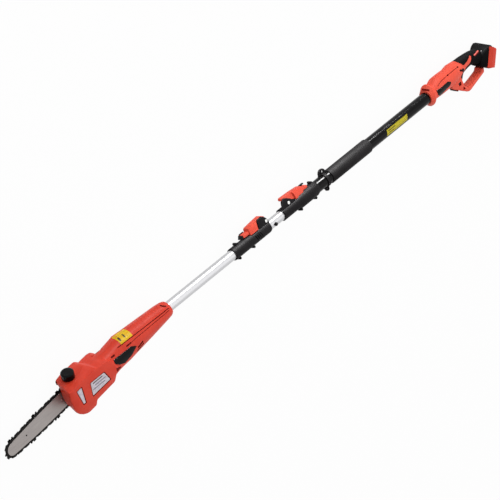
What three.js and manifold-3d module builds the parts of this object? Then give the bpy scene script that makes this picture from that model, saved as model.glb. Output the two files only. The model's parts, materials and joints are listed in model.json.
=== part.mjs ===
// Telescoping pole saw, modelled in millimetres as separate pieces.
//
// Each piece is drawn in the tool's own directions: x runs forward along the pole from the take-down coupling,
// "up" is towards the top of the tool and "left" towards its left side. The finished model lies on its right
// side, as the saw is laid down: +X forward, +Z the tool's left and -Y the tool's top.

import * as THREE from 'three';
import { mergeVertices } from 'three/addons/utils/BufferGeometryUtils.js';
import Module from 'manifold-3d';

const wasm = await Module();
wasm.setup();

// ---------------------------------------------------------------- driving dimensions

const gap = 0.3; // between pieces that touch
const wall = 3; // moulded housings

// Pole tubes and where they lie along the pole
const poleDiameter = 25; // head tube and middle tube
const outerDiameter = 32; // outer tube
const tubeWall = 1.5;
const buttonAt = -100;
const buttonRadius = 4.5;
const leadRadius = 3;
const leadCoilRadius = 8;
const headTubeFront = 392;
const tubeMeeting = -8; // head tube ends and middle tube begins, inside the coupling
const middleTubeRear = -790;
const outerTubeFront = -200;
const handleFront = -746;
const outerTubeRear = handleFront - 104;

// Fittings on the pole
const fittingTurn = THREE.MathUtils.degToRad(15); // clamps and strap ring sit turned on the round pole
const couplingFront = 48;
const couplingLength = 134;
const slideClampFront = -136;
const slideClampLength = 135;
const collarWall = 2.7;
const rearCollarWall = 2.6;
const cheekInner = 7.2; // inside faces of the lever's two cheeks
const cheekThickness = 3;
const leverPinHeight = 18.8; // above the pole's axis
const leverPinRadius = 2.5;
const camRadius = 4;
const leverLength = 79; // from its pin
const leverPadEnd = 60;
const tongueTop = 25;
const tongueRight = -7;
const leverHalfWidth = 11;
const jawReach = 6;
const jawHalfWidth = 7;
const strapHoleRadius = 3.8;
const strapRingAt = -308;
const strapRingWidth = 9;
const foamFront = -324;
const foamLength = 162;
const foamDiameter = 37.5;

// Cutting head, drawn along its own axis, which droops below the pole's
const droop = THREE.MathUtils.degToRad(6.6);
const bendAt = 339; // where the head's axis leaves the pole's
const outputAt = 176; // sprocket shaft, from the bend along the head's axis
const headLeft = 30; // left side of the gearcase
const frontSweep = 19; // how far the head's right side lies behind its left at the front
const sweepFrom = 205;
const sweepTo = 288;
const gearPlate = -13.5; // right face of the gearcase, towards the chain
const barPlane = -19.5; // middle of the guide bar
const coverFace = -34; // flat outside of the sprocket cover, on which the saw lies
const coverWall = 2.5;
const motorRadius = 19.5;
const motorLength = 58;
const shaftRadius = 5;
const shaftHoleRadius = 9;
const pinionTeeth = 6;
const gearTeeth = 18;
const gearRadius = 19.8;
const caseTop = 47.5;
const browUnder = 35.5; // the gearcase's top reaches over the sprocket cover above here
const browRight = -31;
const capAt = 247;
const capLeft = -4.5;
const capLean = THREE.MathUtils.degToRad(10);
const capRadius = 15;
const capHeight = 17.5;
const capStemRadius = 8.7;
const fillerRadius = 12;

// Bar and chain
const chainPitch = 9.525; // rivet to rivet
const driveLinks = 33;
const sprocketTeeth = 6;
const railDepth = 3.3; // bar rail below the rivet line
const barMiddle = 23.4; // rivet line above the bar's axis, halfway along
const barThickness = 4;
const linkThickness = 1.2;
const strapThickness = 1.3;
const barTail = 30; // clear of the sprocket, from its shaft
const barStudAt = outputAt + barTail + 28;
const tensionPin = [barTail + 20, 12]; // from the sprocket shaft, [x, up]

// Handle
const handleTilt = THREE.MathUtils.degToRad(21); // battery plate, from upright
const gripHalfWidth = 16.5;
const tailHalfWidth = 21;
const tailDepth = 34;
const guardHalfWidth = 13;
const footHalfWidth = -coverFace; // the foot and the sprocket cover lie on one plane
const footHeight = 66;
const footThickness = 15;
const skin = 2; // soft grip cover over the shell
const triggerHalfWidth = 8;
const triggerPivot = [handleFront - 209, 3.5];
const switchSpan = [handleFront - 134, handleFront - 116];
const lockButtonAt = [handleFront - 147, 12];
const lockButtonRadius = 4.5;
const footAt = [handleFront - 268, -7]; // middle of the foot's plane, [x, up]

// ---------------------------------------------------------------- helpers

const red = { color: 0xd9442f, roughness: 0.42, metalness: 0 };
const brightRed = { color: 0xee5540, roughness: 0.4, metalness: 0 };
const black = { color: 0x232225, roughness: 0.55, metalness: 0 };
const softBlack = { color: 0x1d1d1f, roughness: 0.85, metalness: 0 };
const foamBlack = { color: 0x333335, roughness: 0.95, metalness: 0 };
const glossBlack = { color: 0x17171a, roughness: 0.2, metalness: 0.2 };
const silver = { color: 0xd4d6d9, roughness: 0.35, metalness: 0.9 };
const steel = { color: 0xaaa39f, roughness: 0.35, metalness: 0.9 };
const chainSteel = { color: 0x55555a, roughness: 0.4, metalness: 0.9 };
const brass = { color: 0xb08d4a, roughness: 0.4, metalness: 0.9 };
const amber = { color: 0xcfc7a2, roughness: 0.4, metalness: 0 };

const circle = Math.PI * 2;

function toSolid(geometry) {
  const bare = geometry.index ? geometry.toNonIndexed() : geometry.clone();
  bare.deleteAttribute('normal');
  bare.deleteAttribute('uv');
  const merged = mergeVertices(bare, 1e-4);
  return new wasm.Manifold(new wasm.Mesh({
    numProp: 3,
    vertProperties: new Float32Array(merged.attributes.position.array),
    triVerts: new Uint32Array(merged.index.array),
  }));
}

function toGeometry(solid) {
  const mesh = solid.getMesh();
  const geometry = new THREE.BufferGeometry();
  geometry.setAttribute('position', new THREE.BufferAttribute(new Float32Array(mesh.vertProperties), 3));
  geometry.setIndex(new THREE.BufferAttribute(new Uint32Array(mesh.triVerts), 1));
  geometry.computeVertexNormals();
  return geometry;
}

function piece(parent, name, solid, look) {
  const mesh = new THREE.Mesh(toGeometry(solid), new THREE.MeshStandardMaterial(look));
  mesh.name = name;
  parent.add(mesh);
  return mesh;
}

function union(...solids) {
  return solids.reduce((whole, next) => whole.add(next));
}

// Box between two values on each of the tool's directions
function block(x, up, left) {
  const geometry = new THREE.BoxGeometry(x[1] - x[0], up[1] - up[0], left[1] - left[0]);
  geometry.translate((x[0] + x[1]) / 2, -(up[0] + up[1]) / 2, (left[0] + left[1]) / 2);
  return toSolid(geometry);
}

// Round bar along x, along the tool's left, or upright
function rod(radius, x, { up = 0, left = 0, sides = 16 } = {}) {
  const geometry = new THREE.CylinderGeometry(radius, radius, x[1] - x[0], sides);
  geometry.rotateZ(-Math.PI / 2);
  geometry.translate((x[0] + x[1]) / 2, -up, left);
  return toSolid(geometry);
}

function crossPin(radius, left, { x = 0, up = 0, sides = 12 } = {}) {
  const geometry = new THREE.CylinderGeometry(radius, radius, left[1] - left[0], sides);
  geometry.rotateX(Math.PI / 2);
  geometry.translate(x, -up, (left[0] + left[1]) / 2);
  return toSolid(geometry);
}

function post(radius, up, { x = 0, left = 0, sides = 16 } = {}) {
  const geometry = new THREE.CylinderGeometry(radius, radius, up[1] - up[0], sides);
  geometry.translate(x, -(up[0] + up[1]) / 2, left);
  return toSolid(geometry);
}

// Solid turned about the x axis from [x, radius] points that close on themselves or end on the axis
function turned(points, { up = 0, left = 0, sides = 18 } = {}) {
  const profile = points.map(([x, radius]) => new THREE.Vector2(radius, x));
  if (points[0][1] > 0) {
    profile.push(profile[0].clone());
  }
  const geometry = new THREE.LatheGeometry(profile, sides);
  geometry.rotateZ(-Math.PI / 2);
  geometry.translate(0, -up, left);
  return outwards(geometry);
}

function turnedUp(points, { sides = 24 } = {}) {
  const geometry = new THREE.LatheGeometry(points.map(([height, radius]) => new THREE.Vector2(radius, height)), sides);
  geometry.rotateX(Math.PI);
  return outwards(geometry);
}

function flipped(geometry) {
  const turnedOver = geometry.index ? geometry.toNonIndexed() : geometry;
  const array = turnedOver.attributes.position.array;
  for (let i = 0; i < array.length; i += 9) {
    for (let k = 0; k < 3; k += 1) {
      [array[i + 3 + k], array[i + 6 + k]] = [array[i + 6 + k], array[i + 3 + k]];
    }
  }
  return turnedOver;
}

function pipe(outer, inner, x, sides = 20) {
  return rod(outer, x, { sides }).subtract(rod(inner, [x[0] - 1, x[1] + 1], { sides }));
}

// Plate cut to a side outline of [x, up] points and reaching from left[0] to left[1]; moved reshapes its points
function plate(outline, left, { moved = null } = {}) {
  const shape = outline instanceof THREE.Shape ? outline : new THREE.Shape(outline.map(([x, up]) => new THREE.Vector2(x, up)));
  const geometry = new THREE.ExtrudeGeometry(shape, { depth: left[1] - left[0], bevelEnabled: false, curveSegments: 8 });
  geometry.rotateX(Math.PI);
  geometry.translate(0, 0, left[1]);
  if (moved) {
    const place = geometry.attributes.position;
    for (let i = 0; i < place.count; i += 1) {
      const point = moved(new THREE.Vector3().fromBufferAttribute(place, i));
      place.setXYZ(i, point.x, point.y, point.z);
    }
  }
  return toSolid(geometry);
}

// Points along an outline of [x, up, corner radius] with its corners rounded
function roundedPoints(outline, radius, steps = 2) {
  const corners = outline.map(([x, up, own]) => ({ at: new THREE.Vector2(x, up), radius: own ?? radius }));
  return corners.flatMap(({ at, radius: wanted }, i) => {
    if (wanted === 0) {
      return [[at.x, at.y]];
    }
    const before = corners[(i + corners.length - 1) % corners.length].at;
    const after = corners[(i + 1) % corners.length].at;
    const reach = Math.min(wanted, at.distanceTo(before) / 2.1, at.distanceTo(after) / 2.1);
    const from = at.clone().add(before.clone().sub(at).setLength(reach));
    const to = at.clone().add(after.clone().sub(at).setLength(reach));
    return Array.from({ length: steps + 1 }, (_, k) => {
      const t = k / steps;
      const x = (1 - t) ** 2 * from.x + 2 * t * (1 - t) * at.x + t * t * to.x;
      const up = (1 - t) ** 2 * from.y + 2 * t * (1 - t) * at.y + t * t * to.y;
      return [x, up];
    });
  });
}

function rounded(outline, radius, steps = 2) {
  return new THREE.Shape(roundedPoints(outline, radius, steps).map(([x, up]) => new THREE.Vector2(x, up)));
}

// The outline moved into the material by a distance, corner by corner
function inwards(outline, by) {
  const points = outline.map(([x, up]) => new THREE.Vector2(x, up));
  const turn = THREE.ShapeUtils.area(points) < 0 ? 1 : -1;
  return points.map((point, i) => {
    const before = points[(i + points.length - 1) % points.length];
    const after = points[(i + 1) % points.length];
    const into = point.clone().sub(before).normalize();
    const out = after.clone().sub(point).normalize();
    const normal = new THREE.Vector2(into.y + out.y, -into.x - out.x).normalize().multiplyScalar(turn);
    const stretch = 1 / Math.max(0.6, Math.sqrt((1 + into.dot(out)) / 2));
    const moved = point.clone().addScaledVector(normal, by * stretch);
    return [moved.x, moved.y, outline[i][2]];
  });
}

// Closed skin over rings that hold the same number of points
function skinned(rings) {
  const positions = [];
  const count = rings[0].length;
  const push = (...points) => points.forEach((p) => positions.push(p.x, p.y, p.z));
  for (let k = 0; k + 1 < rings.length; k += 1) {
    for (let i = 0; i < count; i += 1) {
      const j = (i + 1) % count;
      push(rings[k][i], rings[k][j], rings[k + 1][j], rings[k][i], rings[k + 1][j], rings[k + 1][i]);
    }
  }
  const close = (ring, reverse, flatten) => {
    for (const [a, b, c] of THREE.ShapeUtils.triangulateShape(ring.map(flatten), [])) {
      push(...(reverse ? [ring[a], ring[c], ring[b]] : [ring[a], ring[b], ring[c]]));
    }
  };
  const along = rings[rings.length - 1][0].clone().sub(rings[0][0]);
  const flat = Math.abs(along.z) > Math.abs(along.x)
    ? (p) => new THREE.Vector2(p.x, p.y)
    : (p) => new THREE.Vector2(p.y, p.z);
  const area = THREE.ShapeUtils.area(rings[0].map(flat));
  close(rings[0], area > 0, flat);
  close(rings[rings.length - 1], area < 0, flat);
  const geometry = new THREE.BufferGeometry();
  geometry.setAttribute('position', new THREE.Float32BufferAttribute(positions, 3));
  return outwards(geometry);
}

function outwards(geometry) {
  const solid = toSolid(geometry);
  return solid.volume() < 0 ? toSolid(flipped(geometry)) : solid;
}

// Plate with its edge rounded over on one side or on both
function softPlate(outline, left, { round, sides = ['left', 'right'], corner = 4, steps = 2, moved = (point) => point }) {
  const arc = Array.from({ length: steps + 1 }, (_, k) => {
    const angle = (k / steps) * (Math.PI / 2);
    return { depth: round * (1 - Math.sin(angle)), by: round * (1 - Math.cos(angle)) };
  });
  const low = sides.includes('right') ? [...arc].reverse().map(({ depth, by }) => [left[0] + depth, by]) : [[left[0], 0]];
  const high = sides.includes('left') ? arc.map(({ depth, by }) => [left[1] - depth, by]) : [[left[1], 0]];
  const rings = [...low, ...high].map(([z, by]) => roundedPoints(inwards(outline, by), corner)
    .map(([x, up]) => moved(new THREE.Vector3(x, -up, z))));
  return skinned(rings);
}

// Body lofted through oval sections at stations along x; a squareness above 2 fills out the corners
function loft(sections, sides = 20) {
  const rings = sections.map(({ x, up = 0, left = 0, high, wide, square = 2 }) => {
    const ring = [];
    for (let i = 0; i < sides; i += 1) {
      const angle = (i / sides) * circle;
      const c = Math.cos(angle);
      const s = Math.sin(angle);
      const across = Math.sign(c) * Math.abs(c) ** (2 / square) * wide;
      const rise = Math.sign(s) * Math.abs(s) ** (2 / square) * high;
      ring.push(new THREE.Vector3(x, -(up + rise), left + across));
    }
    return ring;
  });
  return skinned(rings);
}

// The same loft drawn in by the thickness of a wall
function inset(sections, by) {
  return sections.map((section) => ({ ...section, high: section.high - by, wide: section.wide - by }));
}

function inFrameOf(group, solid) {
  group.updateMatrix();
  const matrix = group.matrix.clone().invert();
  return solid.transform(matrix.elements);
}

function half(solid, side, parting = 0) {
  const far = 2000;
  const left = side === 'left' ? [parting + gap / 2, far] : [-far, parting - gap / 2];
  return solid.intersect(block([-far, far], [-far, far], left));
}

const saw = new THREE.Group();

// ---------------------------------------------------------------- guide bar, chain and sprocket

// The rivet line is four tangent arcs: round the sprocket, over the bar, round the nose and back under it
const wrapRadius = chainPitch / (2 * Math.sin(Math.PI / (2 * sprocketTeeth)));
const chordSag = wrapRadius * (1 - Math.cos(Math.PI / (2 * sprocketTeeth)));

function rivetLine(noseAt) {
  const bellyRadius = ((noseAt / 2) ** 2 + barMiddle ** 2 - wrapRadius ** 2) / (2 * (barMiddle - wrapRadius));
  const bellyAngle = Math.asin(noseAt / 2 / (bellyRadius - wrapRadius));
  const length = 4 * bellyRadius * bellyAngle + 2 * wrapRadius * (Math.PI - 2 * bellyAngle);
  return { noseAt, bellyRadius, bellyAngle, length };
}

// The nose lies where the line's length holds every link
function closedRivetLine() {
  let low = 150;
  let high = 400;
  while (high - low > 1e-6) {
    const middle = (low + high) / 2;
    if (rivetLine(middle).length < 2 * driveLinks * chainPitch) {
      low = middle;
    } else {
      high = middle;
    }
  }
  return rivetLine(low);
}

const line = closedRivetLine();

// Point of the line, and the direction along it, at a distance from the rearmost point; depth is below the line
function onRivetLine(distance, depth = 0) {
  const { noseAt, bellyRadius, bellyAngle } = line;
  const endAngle = Math.PI / 2 - bellyAngle;
  const arcs = [
    { x: 0, up: 0, radius: wrapRadius, start: Math.PI, sweep: endAngle },
    { x: noseAt / 2, up: barMiddle - bellyRadius, radius: bellyRadius, start: Math.PI / 2 + bellyAngle, sweep: 2 * bellyAngle },
    { x: noseAt, up: 0, radius: wrapRadius, start: endAngle, sweep: 2 * endAngle },
    { x: noseAt / 2, up: bellyRadius - barMiddle, radius: bellyRadius, start: bellyAngle - Math.PI / 2, sweep: 2 * bellyAngle },
    { x: 0, up: 0, radius: wrapRadius, start: Math.PI + endAngle, sweep: endAngle },
  ];
  let rest = ((distance % line.length) + line.length) % line.length;
  for (const arc of arcs) {
    const length = arc.radius * arc.sweep;
    if (rest <= length || arc === arcs[4]) {
      const angle = arc.start - rest / arc.radius;
      const radius = arc.radius - depth;
      return { x: arc.x + radius * Math.cos(angle), up: arc.up + radius * Math.sin(angle), angle: angle - Math.PI / 2 };
    }
    rest -= length;
  }
  return null;
}

// Outline of the bar at a depth below the rivet line, square at its tail, with points close together round the nose
function barOutline(depth, from) {
  const toBelly = wrapRadius * (Math.PI / 2 - line.bellyAngle);
  const belly = 2 * line.bellyRadius * line.bellyAngle;
  const tailAngle = Math.acos((from - line.noseAt / 2) / (line.bellyRadius - depth));
  const tail = toBelly + line.bellyRadius * (Math.PI / 2 + line.bellyAngle - tailAngle);
  const stops = [[tail, 8], [toBelly + belly, 12], [line.length - toBelly - belly, 8], [line.length - tail, 0]];
  const distances = stops.slice(0, -1).flatMap(([start, steps], i) => {
    const step = (stops[i + 1][0] - start) / steps;
    return Array.from({ length: steps }, (_, k) => start + k * step);
  });
  return [...distances, line.length - tail].map((distance) => {
    const { x, up } = onRivetLine(distance, depth);
    return [x, up];
  });
}

function guideBar(parent) {
  const left = [barPlane - barThickness / 2, barPlane + barThickness / 2];
  const groove = linkThickness / 2 + gap;
  const grooveDepth = railDepth + 5.2;
  const body = plate(barOutline(railDepth, barTail), left);
  const core = plate(barOutline(grooveDepth, barTail - 5), [barPlane - groove - 1, barPlane + groove + 1]);
  const ring = plate(barOutline(railDepth - 1, barTail - 1), [barPlane - groove, barPlane + groove]);
  const studSlot = block([barTail + 12, barTail + 44], [-4.3, 4.3], [left[0] - 1, left[1] + 1]);
  const pinHole = crossPin(2.4, [left[0] - 1, left[1] + 1], { x: tensionPin[0], up: tensionPin[1] });
  piece(parent, 'guide_bar', body.subtract(ring.subtract(core)).subtract(studSlot).subtract(pinHole), steel);
}

// One plate of a link, from its own outline of [along, out] points, placed between two rivets
function linkPlate(outline, index, left) {
  const step = line.length / (2 * driveLinks);
  const a = onRivetLine(index * step);
  const b = onRivetLine((index + 1) * step);
  const angle = Math.atan2(b.up - a.up, b.x - a.x);
  const c = Math.cos(angle);
  const s = Math.sin(angle);
  const middle = [(a.x + b.x) / 2, (a.up + b.up) / 2];
  const placed = outline.map(([along, out]) => [middle[0] + along * c - out * s, middle[1] + along * s + out * c]);
  return plate(placed, left);
}

function chain(parent) {
  const halfPitch = chainPitch / 2;
  const drive = [
    [-halfPitch - 2, 0.4], [-halfPitch, 2.4], [halfPitch, 2.4], [halfPitch + 2, 0.4], [1.8, -7.6], [-1.8, -7.6],
  ];
  const strapFoot = gap + chordSag - railDepth;
  const strap = [
    [-halfPitch - 2.6, strapFoot + 1.6], [-halfPitch - 1.2, 2.9], [halfPitch + 1.2, 2.9],
    [halfPitch + 2.6, strapFoot + 1.6], [halfPitch + 1.4, strapFoot], [-halfPitch - 1.4, strapFoot],
  ];
  const cutter = [
    [-halfPitch - 3, -0.6], [-halfPitch - 3.2, 5], [-halfPitch - 0.4, 5.6], [-halfPitch + 1.4, 2.6], [-0.2, 2.6],
    [0.6, 6], [halfPitch + 2.6, 5.2], [halfPitch + 3, -0.6], [halfPitch + 1.4, strapFoot], [-halfPitch - 1.4, strapFoot],
  ];
  const inner = linkThickness / 2 - 0.02;
  const outer = inner + strapThickness;
  const links = [];
  for (let i = 0; i < driveLinks; i += 1) {
    links.push(linkPlate(drive, 2 * i, [barPlane - linkThickness / 2, barPlane + linkThickness / 2]));
    const cuts = i % 2 === 0;
    const cutsLeft = i % 4 === 0;
    links.push(linkPlate(cuts && cutsLeft ? cutter : strap, 2 * i + 1, [barPlane + inner, barPlane + outer]));
    links.push(linkPlate(cuts && !cutsLeft ? cutter : strap, 2 * i + 1, [barPlane - outer, barPlane - inner]));
  }
  piece(parent, 'saw_chain', wasm.Manifold.union(links), chainSteel);
}

function sprocket(parent) {
  const tip = wrapRadius - railDepth - 2 * gap;
  const root = wrapRadius - 7.6 - 2 * gap;
  const clear = linkThickness / 2 + gap;
  const width = barThickness / 2 + 1.2;
  const points = [];
  for (let i = 0; i < sprocketTeeth; i += 1) {
    const middle = Math.PI + ((i + 0.5) / sprocketTeeth) * circle + Math.PI / sprocketTeeth / 2;
    for (const [radius, spread] of [[root, -0.36], [tip, -0.2], [tip, 0.2], [root, 0.36]]) {
      points.push([radius * Math.cos(middle + spread), radius * Math.sin(middle + spread)]);
    }
  }
  const outerRim = plate(points, [barPlane - width, barPlane - clear]);
  const innerRim = plate(points, [barPlane + clear, barPlane + width]);
  const hub = crossPin(root, [barPlane - width, barPlane + width], { sides: 20 });
  const bore = crossPin(shaftRadius + gap, [barPlane - 10, barPlane + 10]);
  piece(parent, 'drive_sprocket', union(outerRim, innerRim, hub).subtract(bore), steel);
}

// ---------------------------------------------------------------- head drive

// Tooth of a bevel gear: straight to the apex at the origin, between two cone distances
function bevelTooth(rootCone, tipCone, halfAngles, distances) {
  const corner = (distance, cone, turn) => new THREE.Vector3(
    distance * Math.cos(cone),
    distance * Math.sin(cone) * Math.cos(turn),
    distance * Math.sin(cone) * Math.sin(turn),
  );
  const section = (distance) => [
    corner(distance, rootCone, -halfAngles[0]), corner(distance, tipCone, -halfAngles[1]),
    corner(distance, tipCone, halfAngles[1]), corner(distance, rootCone, halfAngles[0]),
  ];
  const [a, b] = distances.map(section);
  const faces = [[a[0], a[1], a[2], a[3]], [b[3], b[2], b[1], b[0]]];
  for (let i = 0; i < 4; i += 1) {
    const j = (i + 1) % 4;
    faces.push([a[j], a[i], b[i], b[j]]);
  }
  const positions = [];
  for (const [p, q, r, s] of faces) {
    for (const v of [p, q, r, p, r, s]) {
      positions.push(v.x, v.y, v.z);
    }
  }
  const geometry = new THREE.BufferGeometry();
  geometry.setAttribute('position', new THREE.Float32BufferAttribute(positions, 3));
  return outwards(geometry);
}

// Bevel gear with its axis along +x and its apex at the origin
function bevelGear({ teeth, pitchRadius, pitchCone, face, hub, phase }) {
  const outer = pitchRadius / Math.sin(pitchCone);
  const addendum = 1.3 / outer;
  const dedendum = 1.9 / outer;
  const rootCone = pitchCone - dedendum;
  const tipCone = pitchCone + addendum;
  const inner = outer - face;
  const pitchAngle = circle / teeth;
  const at = (distance, cone) => [distance * Math.cos(cone), distance * Math.sin(cone)];
  const front = at(inner, rootCone);
  const back = at(outer, rootCone);
  const blank = turned([
    [front[0], 0], front, back, [back[0] + 1, back[1]], [hub.to, hub.radius], [hub.to, 0],
  ], { sides: 20 });
  const tooth = bevelTooth(rootCone - 0.05, tipCone, [pitchAngle * 0.3, pitchAngle * 0.12], [inner, outer]);
  const all = [blank];
  for (let i = 0; i < teeth; i += 1) {
    const turn = new THREE.Matrix4().makeRotationX((i + phase) * pitchAngle);
    all.push(tooth.transform(turn.elements));
  }
  return wasm.Manifold.union(all);
}

function headDrive(parent) {
  const pinionCone = Math.atan(pinionTeeth / gearTeeth);
  const pinionRadius = gearRadius * Math.tan(pinionCone);
  const apex = outputAt;

  // Motor behind the apex, with the pinion on its shaft
  const motorFront = apex - gearRadius - 26;
  const can = turned([
    [motorFront - motorLength, 0], [motorFront - motorLength, motorRadius - 4], [motorFront - motorLength + 3, motorRadius],
    [motorFront - 2, motorRadius], [motorFront, motorRadius - 2], [motorFront, 0],
  ]);
  piece(parent, 'motor', can.subtract(rod(3 + gap, [motorFront - 20, motorFront + 1], { sides: 16 })), silver);
  const pinion = bevelGear({
    teeth: pinionTeeth, pitchRadius: pinionRadius, pitchCone: pinionCone, face: 7,
    hub: { to: gearRadius + 7, radius: 4 }, phase: 0.5,
  });
  const facingBack = new THREE.Matrix4().makeRotationY(Math.PI).setPosition(apex, 0, 0);
  const shaft = rod(3, [motorFront - 18, apex - gearRadius - 5], { sides: 16 });
  piece(parent, 'motor_pinion', pinion.transform(facingBack.elements).add(shaft), steel);

  // Output gear on the cross shaft, on the chain's side of the apex
  const gear = bevelGear({
    teeth: gearTeeth, pitchRadius: gearRadius, pitchCone: Math.PI / 2 - pinionCone, face: 7,
    hub: { to: pinionRadius + 3, radius: 11 }, phase: 0,
  });
  const facingRight = new THREE.Matrix4().makeRotationY(Math.PI / 2).setPosition(apex, 0, 0);
  const bore = crossPin(shaftRadius + gap, [-30, 30], { x: apex });
  piece(parent, 'bevel_gear', gear.transform(facingRight.elements).subtract(bore), steel);

  const shaftLeft = headLeft - wall - 4;
  const shaftRight = barPlane - barThickness / 2 - 5;
  const outputShaft = crossPin(shaftRadius, [shaftRight, shaftLeft], { x: apex })
    .add(crossPin(shaftRadius + 2.5, [shaftRight, shaftRight + 1.5], { x: apex }));
  piece(parent, 'output_shaft', outputShaft, steel);
  const bearing = (left, radius) => crossPin(radius, left, { x: apex, sides: 20 })
    .subtract(crossPin(shaftRadius + gap, [left[0] - 1, left[1] + 1], { x: apex }));
  piece(parent, 'shaft_bearing_left', bearing([headLeft - wall - 10, headLeft - wall - 4 - gap], 11), steel);
  piece(parent, 'shaft_bearing_right', bearing([gearPlate, gearPlate + wall], shaftHoleRadius - gap), steel);
}

// ---------------------------------------------------------------- head housing

const neckSections = [
  { x: -58, up: -6.4, high: 18.2, wide: 18.2 },
  { x: -52, up: -6.2, high: 20.5, wide: 20.5 },
  { x: -35, up: -4.6, high: 23, wide: 22 },
  { x: 17, up: -1.2, high: 28, wide: 25.5 },
  { x: 68, up: 2.5, high: 31.5, wide: 27.5, square: 2.2 },
  { x: 97, up: 4.6, high: 34, wide: 29, square: 2.3 },
  { x: 106, up: 4.2, high: 32.5, wide: 28.5, square: 2.4 },
  { x: 133, up: 3.2, high: 30.5, wide: 27.5, square: 2.6 },
  { x: 160, up: 2.8, high: 32, wide: 28, square: 3 },
  { x: 190, up: 4.5, high: 33, wide: 28, square: 3.4 },
];

// Side outline of the gearcase, [x, up, corner radius]
const caseOutline = [
  [150, 27, 12], [172, 37, 10], [192, 38.5, 4], [204, caseTop, 6], [262, caseTop, 5], [283, 44, 5], [288, 12, 20],
  [286, -14, 14], [272, -31, 8], [256, -39, 5], [230, -39, 3], [223, -29, 3], [163, -28, 4], [152, -15, 4],
  [138, -12, 6],
];

// The head's front is swept back towards its right side
function swept(point) {
  const share = THREE.MathUtils.clamp((point.x - sweepFrom) / (sweepTo - sweepFrom), 0, 1);
  point.x -= share * frontSweep * (headLeft - point.z) / (headLeft - browRight);
  return point;
}

// The gearcase's top reaches over the sprocket cover
const browOutline = [[193, browUnder, 1], [204, caseTop, 6], [262, caseTop, 5], [283, 44, 5], [284, browUnder, 1]];

// Upright solids drawn about the oil cap's own axis, measured from its seat
function atCap(solid) {
  const lean = new THREE.Matrix4().makeRotationX(-capLean);
  return solid.transform(lean.setPosition(capAt, -caseTop, capLeft).elements);
}

// The case's top slopes down to the left in the plane of the cap's seat
function aboveSeat(depth) {
  return atCap(block([-50, 60], [-depth, 40], [-60, 80]));
}

function headHousing(parent, group) {
  const neck = loft(neckSections);
  const gearcase = softPlate(caseOutline, [gearPlate, headLeft], { round: 4.5, sides: ['left'], moved: swept });
  const brow = softPlate(browOutline, [browRight, gearPlate + 2], { round: 2.5, sides: ['right'], moved: swept });
  const behindCover = block([133, 400], [-80, browUnder], [-60, gearPlate]);
  const capSeat = atCap(post(capRadius + 1.5, [-8, 0], { sides: 20 }));
  const outside = union(neck.subtract(behindCover), gearcase, brow).subtract(aboveSeat(0)).add(capSeat);

  const neckInside = loft(inset(neckSections, wall)).subtract(block([142, 400], [-80, 80], [-60, 60]));
  const behindTube = neckInside.subtract(block([-80, 8], [-80, 80], [-60, 60]));
  const sweptPlate = (outline, left) => plate(rounded(inwards(outline, wall), 3), left, { moved: swept });
  const caseInside = sweptPlate(caseOutline, [gearPlate + wall, headLeft - wall]).subtract(aboveSeat(wall));
  const browInside = sweptPlate(browOutline, [browRight + wall, gearPlate + wall + 1]).subtract(aboveSeat(wall));
  const pinionPassage = rod(12, [130, outputAt]);
  const shaftHole = crossPin(shaftHoleRadius, [gearPlate - 5, gearPlate + 5], { x: outputAt, sides: 20 });
  const tubeSocket = inFrameOf(group, rod(poleDiameter / 2 + gap, [200, headTubeFront + gap]));
  const filler = atCap(post(fillerRadius + gap, [-14, 5]));
  const studHole = crossPin(4 + gap, [gearPlate - 5, gearPlate + 5], { x: barStudAt, sides: 16 });
  const housing = outside.subtract(behindTube).subtract(caseInside).subtract(browInside).subtract(shaftHole)
    .subtract(pinionPassage).subtract(tubeSocket).subtract(filler).subtract(studHole);
  piece(parent, 'head_shell_left', half(housing, 'left'), red);
  piece(parent, 'head_shell_right', half(housing, 'right'), red);
}

function sprocketCover(parent) {
  const top = gearPlate - gap;
  const roof = browUnder - gap;
  const outline = [
    [142, 12, 12], [156, roof, 10], [280, roof, 4], [280, -28, 8], [258, -39, 5], [232, -39, 3], [218, -32, 4],
    [156, -30, 8], [142, -12, 12],
  ];
  const outside = softPlate(outline, [coverFace, top], { round: 5, sides: ['right'], moved: swept });
  const inside = plate(rounded(inwards(outline, coverWall), 4), [coverFace + coverWall, top + 5], { moved: swept });
  const mouth = block([barStudAt + 16, 300], [-32, 32], [coverFace + coverWall, top + 5]);
  const nutRecess = crossPin(13, [coverFace - 1, coverFace + 6], { x: barStudAt, sides: 20 });
  const nutCup = crossPin(15, [coverFace + 1, coverFace + 8], { x: barStudAt, sides: 20 });
  const studHole = crossPin(4 + gap, [coverFace, coverFace + 12], { x: barStudAt, sides: 16 });
  const cover = outside.subtract(inside).add(nutCup).subtract(nutRecess).subtract(studHole)
    .subtract(mouth);
  piece(parent, 'sprocket_cover', cover, black);
}

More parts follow.
